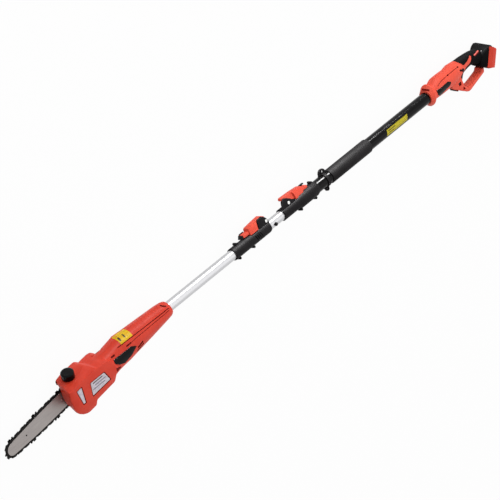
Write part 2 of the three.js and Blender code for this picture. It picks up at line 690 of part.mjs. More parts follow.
function barFasteners(parent) {
  const x = barStudAt;
  const stud = crossPin(4, [coverFace + 4, gearPlate + 6], { x, sides: 16 });
  const foot = crossPin(8, [gearPlate + wall + gap, gearPlate + 6], { x, sides: 16 });
  const padLeft = [barPlane + barThickness / 2 + gap, gearPlate - gap];
  const pad = crossPin(8, padLeft, { x, sides: 20 });
  piece(parent, 'bar_stud', union(stud, foot), steel);
  piece(parent, 'bar_pad', pad.subtract(crossPin(4 + gap, [-40, 40], { x, sides: 16 })), steel);
  const hex = crossPin(8.5, [coverFace + 1.2, coverFace + 6 - gap], { x, sides: 6 });
  piece(parent, 'bar_nut', hex.subtract(crossPin(4 + gap, [-40, 0], { x, sides: 16 })), steel);

  // Chain tensioner: a screw beside the bar moves a block whose pin sits in the bar
  const pinX = outputAt + tensionPin[0];
  const up = tensionPin[1];
  const slider = block([pinX - 5, pinX + 4], [up - 2.2, up + 2.2], padLeft);
  const screw = rod(1.4, [pinX, pinX + 36], { up, left: (padLeft[0] + padLeft[1]) / 2, sides: 12 });
  const barPin = crossPin(2.1, [barPlane - barThickness / 2, padLeft[0] + 0.5], { x: pinX, up });
  piece(parent, 'tension_screw', union(slider, screw, barPin), steel);
}

function oilSystem(parent) {
  const mainShape = [[206, 24, 4], [210, 42, 5], [262, 42, 5], [277, 39, 5], [281, 14, 8], [262, 12, 6], [214, 12, 6]];
  const shelfShape = [[210, 39.2, 1], [211, 43.8, 4], [262, 43.8, 4], [277, 41, 2], [278, 39.2, 1]];
  const tankLeft = headLeft - wall - 2 * gap;
  const main = plate(rounded(mainShape, 5), [gearPlate + wall + 2 * gap, tankLeft], { moved: swept });
  const shelf = plate(rounded(shelfShape, 2), [browRight + wall + 2 * gap, 0], { moved: swept });
  const neck = atCap(post(fillerRadius, [-8, -2.2], { sides: 20 }));
  const bore = atCap(post(capStemRadius + gap, [-14, 5], { sides: 20 }));
  const mainInside = plate(rounded(inwards(mainShape, 2), 4), [gearPlate + wall + 2.6, tankLeft - 2], { moved: swept });
  const tank = union(main, shelf).subtract(aboveSeat(wall + 2 * gap)).add(neck);
  piece(parent, 'oil_tank', tank.subtract(mainInside.subtract(aboveSeat(wall + 2))).subtract(bore), amber);
  const crown = atCap(turnedUp([
    [gap, 0], [gap, capRadius - 1.5], [2, capRadius], [capHeight - 2.5, capRadius], [capHeight, capRadius - 3],
    [capHeight, 0],
  ]));
  const stem = atCap(post(capStemRadius, [-9, 1], { sides: 20 }));
  piece(parent, 'oil_cap', union(crown, stem), black);
  const seal = atCap(post(fillerRadius - gap, [gap - 2.2, 0], { sides: 20 }));
  piece(parent, 'cap_seal', seal.subtract(bore), softBlack);

  // Pump against the gear plate, under the tank
  const inner = gearPlate + wall + gap;
  const pump = block([248, 268], [-2, 11], [inner, inner + 12])
    .add(crossPin(5, [inner + 11, inner + 16], { x: 258, up: 4.5, sides: 16 }));
  piece(parent, 'oil_pump', pump, black);
}

function cuttingHead() {
  const head = new THREE.Group();
  head.position.x = bendAt;
  head.rotation.z = droop;
  saw.add(head);
  headHousing(head, head);
  sprocketCover(head);
  headDrive(head);
  barFasteners(head);
  oilSystem(head);
  const bar = new THREE.Group();
  bar.position.x = outputAt;
  head.add(bar);
  guideBar(bar);
  chain(bar);
  sprocket(bar);
}

// ---------------------------------------------------------------- pole

function tube(parent, name, diameter, x, look, cut = null) {
  const solid = pipe(diameter / 2, diameter / 2 - tubeWall, x, 20);
  piece(parent, name, cut ? solid.subtract(cut) : solid, look);
}

function pole(parent) {
  tube(parent, 'head_tube', poleDiameter, [tubeMeeting + gap / 2, headTubeFront], silver);
  const buttonHole = crossPin(buttonRadius + gap, [0, 30], { x: buttonAt });
  tube(parent, 'middle_tube', poleDiameter, [middleTubeRear, tubeMeeting - gap / 2], silver, buttonHole);
  tube(parent, 'outer_tube', outerDiameter, [outerTubeRear, outerTubeFront], glossBlack);

  // Spring button that locates the coupling, on a collar inside the tube
  const bore = poleDiameter / 2 - tubeWall;
  const dome = crossPin(buttonRadius, [bore - 2, poleDiameter / 2 + 3], { x: buttonAt });
  const foot = crossPin(buttonRadius + 1.5, [bore - 4, bore - 1.9], { x: buttonAt });
  piece(parent, 'locating_button', union(dome, foot), black);

  // Bush at the middle tube's inner end, running in the outer tube
  const outerBore = outerDiameter / 2 - tubeWall;
  const bush = turned([
    [middleTubeRear - 6, leadCoilRadius + gap], [middleTubeRear - 6, outerBore - gap], [middleTubeRear - gap, outerBore - gap],
    [middleTubeRear - gap, bore - gap], [middleTubeRear + 12, bore - gap], [middleTubeRear + 12, leadCoilRadius + gap],
  ]);
  piece(parent, 'guide_bush', bush, softBlack);
}

// Supply lead inside the tubes; its coil stretches as the pole is drawn out
function leads(parent) {
  const bore = poleDiameter / 2 - tubeWall - gap;
  const plugFront = tubeMeeting + 26;
  const plug = turned([
    [tubeMeeting + 1, 0], [tubeMeeting + 1, 7], [tubeMeeting + 4, bore], [plugFront, bore], [plugFront, 0],
  ]);
  const pins = union(...[-3, 3].map((left) => rod(1.2, [tubeMeeting - 9, tubeMeeting + 2], { left, sides: 10 })));
  piece(parent, 'lead_plug', union(plug, pins), black);
  const socketFront = tubeMeeting - 1;
  const socket = turned([
    [socketFront - 25, 0], [socketFront - 25, bore], [socketFront, bore], [socketFront, 0],
  ]);
  const holes = union(...[-3, 3].map((left) => rod(1.2 + gap, [tubeMeeting - 10, tubeMeeting + 2], { left, sides: 10 })));
  piece(parent, 'lead_socket', socket.subtract(holes), black);

  const motorRear = bendAt + 22;
  piece(parent, 'lead_front', rod(leadRadius, [plugFront + gap, motorRear], { sides: 12 }), softBlack);
  const coilFront = middleTubeRear + 190;
  piece(parent, 'lead_middle', rod(leadRadius, [coilFront + gap, socketFront - 25 - gap], { sides: 12 }), softBlack);
  const coil = rod(leadCoilRadius, [middleTubeRear - 9, coilFront], { sides: 16 });
  piece(parent, 'lead_coil', coil, softBlack);
  piece(parent, 'lead_rear', rod(leadRadius, [switchSpan[1] + gap, middleTubeRear - 9 - gap], { sides: 12 }), softBlack);
}

// ---------------------------------------------------------------- fittings on the pole

function foamGrip(parent) {
  const rear = foamFront - foamLength;
  const inner = outerDiameter / 2 + gap;
  const outer = foamDiameter / 2;
  const grip = turned([
    [rear, inner], [rear, outer - 2], [rear + 0.7, outer - 0.6], [rear + 2.5, outer],
    [foamFront - 2.5, outer], [foamFront - 0.7, outer - 0.6], [foamFront, outer - 2], [foamFront, inner],
  ], { sides: 20 });
  piece(parent, 'foam_grip', grip, foamBlack);
}

function strapRing(parent) {
  const inner = outerDiameter / 2 + gap;
  const x = strapRingAt;
  const halfWidth = strapRingWidth / 2;
  const band = rod(inner + 2.2, [x - halfWidth, x + halfWidth], { sides: 20 });
  const top = [[x - 14, 13, 1], [x - 13, 24, 4], [x - 6, 31, 5], [x + 6, 31, 5], [x + 13, 24, 4], [x + 14, 13, 1]];
  const topEye = softPlate(top, [-2.6, 2.6], { round: 1, steps: 1 });
  const bottomEye = crossPin(6, [-3, 3], { x: x + 2, up: -21.5, sides: 24 })
    .add(block([x - 5, x + 9], [-21, -10], [-3, 3]));
  const holes = union(
    crossPin(strapHoleRadius, [-9, 9], { x: x - 3.5, up: 23 }),
    crossPin(2.2, [-9, 9], { x: x + 6.5, up: 22 }),
    crossPin(2.8, [-9, 9], { x: x + 2, up: -21.5 }),
    rod(inner, [x - 40, x + 40], { sides: 20 }),
  );
  piece(parent, 'strap_ring', union(band, topEye, bottomEye).subtract(holes), black);
}

// The right half's ear is a low lug about the lever's pin
const farEar = [[-10, 6, 1], [-9, 14, 2], [-6, 25.5, 5], [6, 25.5, 5], [10, 14, 2], [10, 6, 1]];

// Cam-lever clamp. Its collar is two halves about the tube; the lever lies along the top and points forward or back.
// Distances along the lever are measured from its pin towards its free end.
function clamp(parent, names, { at, towards, collar, ears, nose, bosses, bore, ramp }) {
  const along = (outline) => outline.map(([t, up, r]) => [at + towards * t, up, r]);
  const ordered = (outline) => (towards > 0 ? outline : [...outline].reverse());
  const side = (outline) => ordered(along(outline));
  const span = (from, to) => [Math.min(at + towards * from, at + towards * to), Math.max(at + towards * from, at + towards * to)];
  const earOuter = cheekInner + cheekThickness;

  // Collar halves with their ears and screw bosses
  const leftEar = softPlate(side(ears), [cheekInner, earOuter], { round: 1, corner: 3, steps: 1, sides: ['left'] });
  const rightEar = softPlate(side(farEar), [-earOuter, -cheekInner], { round: 1, corner: 4, steps: 1, sides: ['right'] });
  const screwBosses = bosses.map(([x, up]) => crossPin(3.4, [-6, 6], { x, up, sides: 12 }));
  const jawSlot = block(span(-jawReach - gap, jawReach + gap), [5, 40], [-jawHalfWidth - gap, jawHalfWidth + gap]);
  const pinHole = crossPin(leverPinRadius + gap, [-30, 30], { x: at, up: leverPinHeight });
  const body = union(collar.outside, leftEar, rightEar, ...screwBosses).subtract(bore).subtract(jawSlot)
    .subtract(pinHole);
  piece(parent, names.left, half(body, 'left'), black);
  piece(parent, names.right, half(body, 'right'), black);

  // Pin with a head on both ends
  const head = (from, to) => crossPin(leverPinRadius + 1.5, [from, to], { x: at, up: leverPinHeight });
  const pin = union(
    crossPin(leverPinRadius, [-earOuter - 1.5, earOuter + 1.5], { x: at, up: leverPinHeight }),
    head(earOuter + gap, earOuter + 1.9),
    head(-earOuter - 1.9, -earOuter - gap),
  );
  piece(parent, names.pin, pin, steel);

  // Jaw that the cam presses on the tube
  const jawTop = leverPinHeight - camRadius - gap;
  const jaw = block(span(-jawReach, jawReach), [6, jawTop], [-jawHalfWidth, jawHalfWidth]).subtract(bore);
  piece(parent, names.jaw, jaw, softBlack);

  // Lever: narrow between the ears, wide beyond them, with a tongue at its free end
  const reach = Math.max(...ears.filter(([t]) => t > 0).map(([t, up]) => Math.hypot(t, up - leverPinHeight)));
  const narrow = softPlate(side([
    ...nose, [25, 35.5, 1], [leverPadEnd - 10, 32, 1], [leverPadEnd - 12, 16, 1], [8, 16.5, 3],
    [1, leverPinHeight - camRadius, 1], [-2.5, leverPinHeight - 2, 1], [-3, 24, 3],
  ]), [gap - cheekInner, cheekInner - gap], { round: 0.8, corner: 2, steps: 1 });
  const cam = crossPin(camRadius, [gap - cheekInner, cheekInner - gap], { x: at, up: leverPinHeight });
  const pad = softPlate(side([
    [14, 8, 1], [14, 36, 2], [25, 35.5, 3], [leverPadEnd, 32.5, 5], [leverPadEnd, 8, 1],
  ]), [-leverHalfWidth, leverHalfWidth], { round: 5, corner: 3 })
    .subtract(crossPin(reach + 3 * gap, [-30, 30], { x: at, up: leverPinHeight, sides: 32 }))
    .subtract(block(span(0, 90), [0, 13.5], [-30, 30]));
  const tongue = softPlate(side([
    [leverPadEnd - 6, 16.5, 1], [leverPadEnd - 6, tongueTop, 1], [leverLength, tongueTop, 3], [leverLength, 17.5, 3],
    [leverLength - 4, 16.5, 2],
  ]), [tongueRight, 7], { round: 1.5, corner: 2, steps: 2 });
  const lever = union(narrow, pad, tongue, cam).subtract(collar.clearance).subtract(pinHole);
  piece(parent, names.lever, lever, brightRed);

  // Dark fin along the tongue's far side, with a ramp in front of it on the coupling's lever
  const fin = softPlate(side([
    [leverPadEnd + 2, 18, 1], [leverPadEnd + 2, tongueTop + 1.5, 1], [leverLength - 2, tongueTop + 1.5, 1.5],
    [leverLength + 1, 18, 1],
  ]), [tongueRight - 2.5, tongueRight - gap], { round: 0.5, corner: 1, steps: 1 });
  const tip = softPlate(side([
    [leverLength + gap, 16.5, 0.5], [leverLength + gap, tongueTop, 0.5], [leverLength + 6, 16.5, 0.5],
  ]), [tongueRight - 2.5, 6], { round: 0.5, corner: 1, steps: 1 });
  const tab = ramp ? fin.add(tip) : fin;
  piece(parent, names.tab, tab, black);
}

function nodeNames(prefix) {
  return {
    left: `${prefix}_half_left`,
    right: `${prefix}_half_right`,
    pin: `${prefix}_lever_pin`,
    jaw: `${prefix}_jaw`,
    lever: `${prefix}_lever`,
    tab: `${prefix}_thumb_tab`,
  };
}

function fittings(parent) {
  const turnedOnPole = new THREE.Group();
  turnedOnPole.rotation.x = fittingTurn;
  parent.add(turnedOnPole);
  strapRing(turnedOnPole);

  const poleRadius = poleDiameter / 2;
  const collarRadius = poleRadius + gap + collarWall;
  const couplingRear = couplingFront - couplingLength;
  clamp(turnedOnPole, nodeNames('coupling'), {
    at: couplingRear + 9,
    towards: 1,
    collar: {
      outside: turned([
        [couplingRear, 0], [couplingRear, collarRadius - 4], [couplingRear + 3, collarRadius - 0.8],
        [couplingRear + 7, collarRadius], [couplingFront, collarRadius], [couplingFront, 0],
      ], { sides: 20 }),
      clearance: rod(collarRadius + gap, [couplingRear - 5, couplingFront + 5], { sides: 20 }),
    },
    ears: [[28, 11, 1], [25, 34.5, 4], [7, 35.5, 5], [-5, 25, 8], [-9, 13, 3], [-9, 6, 1], [28, 6, 1]],
    nose: [[-4, 29, 3], [8, 36.8, 2]],
    bosses: [
      [couplingFront - 20, collarRadius + 1.5], [couplingFront - 14, -collarRadius - 1.5], [couplingFront - 66, -collarRadius - 1.5],
    ],
    bore: rod(poleRadius + gap, [couplingRear - 5, couplingFront + 5], { sides: 20 }),
    ramp: true,
  });

  const outerRadius = outerDiameter / 2;
  const slideRear = slideClampFront - slideClampLength;
  const rearRadius = outerRadius + gap + rearCollarWall;
  clamp(turnedOnPole, nodeNames('slide_clamp'), {
    at: slideClampFront - 28,
    towards: -1,
    collar: {
      outside: turned([
        [slideRear, 0], [slideRear, rearRadius - 2.5], [slideRear + 8, rearRadius], [outerTubeFront - 2, rearRadius],
        [outerTubeFront + 6, collarRadius], [slideClampFront, collarRadius], [slideClampFront, 0],
      ], { sides: 20 }),
      clearance: turned([
        [slideRear - 5, 0], [slideRear - 5, rearRadius + gap], [outerTubeFront - 2, rearRadius + gap],
        [outerTubeFront + 6, collarRadius + gap], [slideClampFront + 5, collarRadius + gap], [slideClampFront + 5, 0],
      ], { sides: 20 }),
    },
    ears: [[-27, 6, 1], [-27, 15, 3], [-12, 37, 5], [3, 29.6, 4], [23, 15, 2], [23, 6, 1]],
    nose: [[-14.5, 31, 3], [-12.5, 37, 3]],
    bosses: [[slideRear + 11, rearRadius + 1.5], [slideRear + 14, -rearRadius - 1.5], [outerTubeFront, -rearRadius - 1]],
    bore: union(
      rod(poleRadius + gap, [outerTubeFront - 1, slideClampFront + 5], { sides: 20 }),
      rod(outerRadius + gap, [slideRear - 5, outerTubeFront + gap], { sides: 20 }),
    ),
    ramp: false,
  });
}

// ---------------------------------------------------------------- handle

// Outline given from the handle's front
function behindFront(outline) {
  return outline.map(([x, ...rest]) => [handleFront + x, ...rest]);
}

// Body lofted along the pole's axis; its rear half is the grip
const bodySections = [
  { x: handleFront, up: 1.5, high: 20.5, wide: 19.8 },
  { x: handleFront - 11, up: 2.5, high: 31.5, wide: 24 },
  { x: handleFront - 15, up: 2.5, high: 31.5, wide: 24 },
  { x: handleFront - 24, up: 3, high: 20.5, wide: 20.8 },
  { x: handleFront - 32, up: 5, high: 23, wide: 22 },
  { x: handleFront - 46, up: 8.5, high: 28, wide: 23.2 },
  { x: handleFront - 73, up: 8.5, high: 28.5, wide: 23.4 },
  { x: handleFront - 99, up: 8, high: 27.5, wide: 23.4 },
  { x: handleFront - 118, up: 10, high: 30, wide: 23.4 },
  { x: handleFront - 136, up: 10.5, high: 27.5, wide: 22.4 },
  { x: handleFront - 152, up: 14, high: 22, wide: 20 },
  { x: handleFront - 172, up: 17, high: 19, wide: 17.6 },
  { x: handleFront - 200, up: 15.5, high: 18, wide: gripHalfWidth },
  { x: handleFront - 218, up: 10.5, high: 20, wide: gripHalfWidth + 1, square: 2.2 },
  { x: handleFront - 236, up: 3.5, high: 22, wide: gripHalfWidth + 2, square: 2.4 },
  { x: handleFront - 254, up: -3, high: 23.5, wide: gripHalfWidth + 3, square: 2.6 },
];

// Room inside for the switch and wires, behind the outer tube's socket
const cavitySections = [
  { x: handleFront - 98, up: 8, high: 22.5, wide: 18 },
  { x: handleFront - 118, up: 10, high: 24.5, wide: 18 },
  { x: handleFront - 136, up: 10.5, high: 22, wide: 17 },
  { x: handleFront - 152, up: 14, high: 16.5, wide: 14.5 },
  { x: handleFront - 172, up: 17, high: 13.5, wide: 12 },
  { x: handleFront - 232, up: 7, high: 14, wide: 12 },
  { x: handleFront - 260, up: -4, high: 15, wide: 13 },
];

// Hand guard from under the trigger to the foot, and the wide tail that carries the foot
const guardOutline = behindFront([
  [-100, -12, 2], [-103, -23, 3], [-110, -30, 4], [-174, -69, 9], [-251, -47.5, 2], [-252, -33, 2], [-242, -33, 2],
  [-238, -41.5, 4], [-192, -53, 6], [-170, -53, 8], [-159, -46, 6], [-153, -29, 4], [-147, -10, 2],
]);
const tailOutline = behindFront([
  [-240, 14, 6], [-260, 24, 5], [-279.2, 21.9, 1], [-257.2, -35, 1], [-250, -33.5, 2], [-232, -20, 3],
]);

// The tail widens towards the foot
function widened(point) {
  const away = (point.x - footAt[0]) * Math.cos(handleTilt) - (point.y + footAt[1]) * Math.sin(handleTilt);
  const share = THREE.MathUtils.clamp(away / tailDepth, 0, 1);
  point.z *= 1 + (footHalfWidth / tailHalfWidth - 1) * (1 - share);
  return point;
}

// Everything behind this line wears the soft grip cover
const coverLine = behindFront([
  [-139, 60, 0], [-142, 36, 3], [-150, 28, 6], [-155, 20.6, 3], [-176, 22, 4], [-198, 29, 2], [-200, 26, 1],
  [-189, 12, 4], [-166, 7, 4], [-157, -3, 1], [-184, -22, 0], [-234, -36, 0], [-250, -60, 0], [-334, -60, 0],
  [-334, 60, 0],
]);

const triggerOutline = behindFront([
  [-153, -30, 2.5], [-146, -24, 2], [-144, -8, 2], [-159, 8, 5], [-209, 9, 4], [-214, 4, 3], [-211, -2.5, 2],
  [-184, -4, 6], [-165, -8, 5],
]);

// Room for the trigger to be pressed into the handle
const travelOutline = behindFront([[-138, 16], [-138, -22], [-147, -28], [-159, -24], [-169, 0], [-211, 2], [-211, 15]]);

function handleForm(by) {
  const body = loft(inset(bodySections, by));
  const tailHalf = tailHalfWidth - by;
  const tail = softPlate(inwards(tailOutline, by), [-tailHalf, tailHalf], { round: Math.max(1, 6 - by), moved: widened });
  return union(body, tail);
}

function handleShells(parent) {
  const guard = softPlate(guardOutline, [-guardHalfWidth, guardHalfWidth], { round: 2.5 });
  const guardClearance = plate(rounded(inwards(guardOutline, -gap), 4), [-guardHalfWidth - gap, guardHalfWidth + gap]);
  const covered = (by) => plate(rounded(inwards(coverLine, by), 1), [-60, 60]);
  const full = handleForm(0);
  const triggerSlot = plate(rounded(inwards(triggerOutline, -1.6), 3), [-triggerHalfWidth - 0.6, triggerHalfWidth + 0.6]);
  const triggerTravel = plate(rounded(travelOutline, 3), [-triggerHalfWidth - 0.6, triggerHalfWidth + 0.6]);

  // Cavity for the switch and wires, with the outer tube's socket in front
  const cavity = loft(cavitySections, 16);
  const socket = rod(outerDiameter / 2 + gap, [outerTubeRear - gap, 0], { sides: 20 });
  const leadWay = rod(leadRadius + 1, [outerTubeRear - 20, outerTubeRear + 5], { sides: 16 });
  const plateOpening = atFoot(tile([-12, 20], 40, 32, 4));
  const mainBody = union(full.subtract(covered(0)), handleForm(skin), guard);
  const buttonHole = crossPin(lockButtonRadius + gap, [0, 40], { x: lockButtonAt[0], up: lockButtonAt[1] });
  const pivotHole = crossPin(2 + gap, [-triggerHalfWidth - 5, triggerHalfWidth + 5], { x: triggerPivot[0], up: triggerPivot[1] });
  const shell = mainBody.subtract(cavity).subtract(socket).subtract(leadWay).subtract(triggerSlot)
    .subtract(triggerTravel).subtract(buttonHole).subtract(pivotHole).subtract(plateOpening);
  piece(parent, 'handle_shell_left', half(shell, 'left'), brightRed);
  piece(parent, 'handle_shell_right', half(shell, 'right'), brightRed);

  const skinSolid = full.intersect(covered(gap)).subtract(handleForm(skin - gap)).subtract(guardClearance)
    .subtract(triggerSlot).subtract(triggerTravel).subtract(plateOpening).subtract(buttonHole).subtract(pivotHole);
  piece(parent, 'grip_cover_left', half(skinSolid, 'left'), softBlack);
  piece(parent, 'grip_cover_right', half(skinSolid, 'right'), softBlack);
}

// Solids drawn on the foot's plane: x away from it towards the head, up along it
function atFoot(solid) {
  const turn = new THREE.Matrix4().makeRotationZ(-handleTilt);
  return solid.transform(turn.setPosition(footAt[0], -footAt[1], 0).elements);
}

// Slab across x with rounded corners, high along up and wide along left
function tile(x, high, wide, corner, { up = 0, left = 0 } = {}) {
  const ring = roundedPoints([
    [-wide / 2, -high / 2], [wide / 2, -high / 2], [wide / 2, high / 2], [-wide / 2, high / 2],
  ], corner, 2);
  return skinned(x.map((at) => ring.map(([across, rise]) => new THREE.Vector3(at, -(up + rise), left + across))));
}

function foot(parent) {
  const front = -gap;
  const rear = front - footThickness;
  const slab = tile([rear, front], footHeight, 2 * footHalfWidth, 10);
  const keel = tile([front - 1, 10], 40 - 2 * gap, 32 - 2 * gap, 4).subtract(tile([front, 14], 34, 25, 3));
  const rail = (side) => {
    const web = block([rear - 8, rear + 1], [-footHeight / 2 + 4, footHeight / 2 - 12], sorted(side * 20, side * 23.5));
    const lip = block([rear - 8, rear - 5], [-footHeight / 2 + 4, footHeight / 2 - 12], sorted(side * 20, side * 27));
    return web.add(lip);
  };
  const terminalSeat = tile([rear - 1, rear + 5], 24, 28, 2, { up: 10 });
  const plateSolid = union(slab, keel, rail(1), rail(-1)).subtract(terminalSeat);
  piece(parent, 'battery_plate', atFoot(plateSolid), brightRed);
  const blockBody = tile([rear - 8, rear + 5 - gap], 24 - 2 * gap, 28 - 2 * gap, 2, { up: 10 });
  const slots = [-8, 0, 8].map((left) => tile([rear - 9, rear], 16, 2.6, 0.5, { up: 8, left }));
  piece(parent, 'terminal_block', atFoot(blockBody.subtract(union(...slots))), black);
  for (const [name, left] of [['terminal_left', 8], ['terminal_right', -8]]) {
    piece(parent, name, atFoot(tile([rear - 7, rear - gap], 12, 1, 0.2, { up: 8, left })), brass);
  }
}

function sorted(a, b) {
  return a < b ? [a, b] : [b, a];
}

function triggerParts(parent) {
  const [x, up] = triggerPivot;
  const body = softPlate(triggerOutline, [-triggerHalfWidth, triggerHalfWidth], { round: 1.5, corner: 3, steps: 2 });
  const springSeat = crossPin(4.6, [-3.6, 3.6], { x, up });
  const hole = crossPin(2 + gap, [-20, 20], { x, up });
  piece(parent, 'trigger', body.subtract(springSeat).subtract(hole), black);
  piece(parent, 'trigger_pin', crossPin(2, [-triggerHalfWidth - 4, triggerHalfWidth + 4], { x, up }), steel);
  const spring = crossPin(4, [-3, 3], { x, up }).subtract(crossPin(2 + gap, [-5, 5], { x, up }));
  piece(parent, 'trigger_spring', spring, steel);

  const [bx, bup] = lockButtonAt;
  const button = crossPin(lockButtonRadius, [9, 22], { x: bx, up: bup })
    .add(crossPin(lockButtonRadius + 1.4, [9, 11], { x: bx, up: bup }));
  piece(parent, 'lock_off_button', button, black);
  const switchBody = block(switchSpan, [-5, 20], [-9, 9]);
  piece(parent, 'switch', switchBody, black);
}

cuttingHead();
pole(saw);
leads(saw);
foamGrip(saw);
fittings(saw);
handleShells(saw);
foot(saw);
triggerParts(saw);

const box = new THREE.Box3().setFromObject(saw);
saw.position.set(-(box.min.x + box.max.x) / 2, -(box.min.y + box.max.y) / 2, -box.min.z);
saw.updateMatrixWorld(true);

export default saw;
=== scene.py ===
import json
import math

import bmesh
import bpy
from mathutils import Matrix, Vector
from mathutils.bvhtree import BVHTree

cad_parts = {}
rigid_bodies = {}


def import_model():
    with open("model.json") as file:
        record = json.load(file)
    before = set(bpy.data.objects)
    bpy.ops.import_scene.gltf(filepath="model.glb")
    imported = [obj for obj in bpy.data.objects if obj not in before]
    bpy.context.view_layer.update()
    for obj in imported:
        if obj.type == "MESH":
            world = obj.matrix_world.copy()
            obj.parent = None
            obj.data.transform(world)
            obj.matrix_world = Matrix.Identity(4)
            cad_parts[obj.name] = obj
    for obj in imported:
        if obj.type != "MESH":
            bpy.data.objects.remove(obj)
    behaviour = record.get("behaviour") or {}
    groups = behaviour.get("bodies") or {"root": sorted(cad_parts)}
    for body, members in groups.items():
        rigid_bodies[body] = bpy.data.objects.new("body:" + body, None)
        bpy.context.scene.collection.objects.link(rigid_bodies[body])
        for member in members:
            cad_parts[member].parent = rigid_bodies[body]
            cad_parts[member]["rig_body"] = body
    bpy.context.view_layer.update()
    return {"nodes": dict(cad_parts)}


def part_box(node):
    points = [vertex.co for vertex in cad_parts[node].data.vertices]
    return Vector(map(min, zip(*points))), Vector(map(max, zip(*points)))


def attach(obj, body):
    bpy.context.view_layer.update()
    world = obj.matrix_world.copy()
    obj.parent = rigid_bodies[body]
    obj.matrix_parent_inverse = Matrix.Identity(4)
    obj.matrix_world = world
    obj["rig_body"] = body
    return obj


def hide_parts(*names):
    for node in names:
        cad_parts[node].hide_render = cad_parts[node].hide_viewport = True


# A telescoping pole saw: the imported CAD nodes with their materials, and the grooves, labels,
# badges, accents and screws that the CAD leaves out. Blender measures in metres; the sizes of
# shapes below are in millimetres, and become metres in at() and wherever PER_METRE stands.

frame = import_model()
nodes = frame["nodes"]

# ---------------------------------------------------------------- places
# Tool coordinates, in millimetres: x forward along the pole from the joint
# between the two upper tubes, up towards the tool's top, left to its left side.
PER_METRE = 1000
HEAD_TUBE_START = 7.85  # where the head tube begins, behind the joint
FITTING_LEAN = math.radians(15)
FOOT_TILT = math.radians(21)
FOOT_X, FOOT_UP = -1014, -7
TAIL_TAPER = 0.387  # what each half of the tail loses for each millimetre along it

_low, _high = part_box("head_tube")
ORIGIN = Vector((_low.x * PER_METRE + HEAD_TUBE_START,
                 (_low.y + _high.y) / 2 * PER_METRE,
                 (_low.z + _high.z) / 2 * PER_METRE))

LEFT = (0, 0, 1)
UPPER_LEFT = (0, 0.75, 0.66)
LABEL_SIDE = (0, 0.3, 0.95)


def at(x, up, left):
    """A tool point in the row frame, in metres."""
    return Vector((x + ORIGIN.x, -up + ORIGIN.y, left + ORIGIN.z)) / PER_METRE


def way(x, up, left):
    """A tool direction in the row frame."""
    return Vector((x, -up, left)).normalized()


def fitting_at(x, outward, sideways):
    """A tool point given in the clamps' own directions, which lean to one side."""
    c, s = math.cos(FITTING_LEAN), math.sin(FITTING_LEAN)
    return x, outward * c + sideways * s, sideways * c - outward * s


def foot_at(along, high, left):
    """A tool point given in the battery foot's own directions."""
    c, s = math.cos(FOOT_TILT), math.sin(FOOT_TILT)
    return FOOT_X + along * c - high * s, FOOT_UP + along * s + high * c, left


def tail_side(along, high, left):
    """The same, where the tail narrows away from the foot."""
    return foot_at(along, high, left - TAIL_TAPER * max(along, 0))


# ---------------------------------------------------------------- camera
SWING, LIFT, ROLL = math.radians(36), math.radians(40), math.radians(39.2)
AIM = (0, -13.1, 11)
CAMERA_DISTANCE = 3.96
SENSOR, LENS = 36, 121.68  # mm


def add_camera():
    toward = Vector((math.sin(SWING), -math.cos(SWING) * math.sin(LIFT),
                     math.cos(SWING) * math.cos(LIFT)))
    along = Vector((-1, 0, 0)) + toward.x * toward
    along.normalize()
    across = toward.cross(along)
    right = math.cos(ROLL) * along - math.sin(ROLL) * across
    up = math.sin(ROLL) * along + math.cos(ROLL) * across
    place = at(*AIM) + toward * CAMERA_DISTANCE
    data = bpy.data.cameras.new("camera")
    data.sensor_width = SENSOR
    data.lens = LENS
    data.clip_end = 50
    camera = bpy.data.objects.new("camera", data)
    camera.matrix_world = Matrix((
        (right.x, up.x, toward.x, place.x),
        (right.y, up.y, toward.y, place.y),
        (right.z, up.z, toward.z, place.z),
        (0, 0, 0, 1)))
    bpy.context.scene.collection.objects.link(camera)
    bpy.context.scene.camera = camera


# ---------------------------------------------------------------- studio
FLOOR_REACH = 12
FLOOR_DROP = 0.0006
FLOOR_GREY = 0.86
FLOOR_GLOW = 0.96  # the share of plain white in what is seen of the floor
AMBIENT_BEHIND, AMBIENT_AHEAD = 0.86, 0.14  # the world's light on the object
AMBIENT_FROM, AMBIENT_TO = -0.3, 0.7  # how far ahead a direction points where that changes
LIT_PLACE = (-60, 0, 0)  # the tool point that the lamps are placed from


def join(tree, *pairs):
    """Links pairs of node sockets."""
    for a, b in pairs:
        tree.links.new(a, b)


def maths(tree, operation):
    node = tree.nodes.new("ShaderNodeMath")
    node.operation = operation
    return node


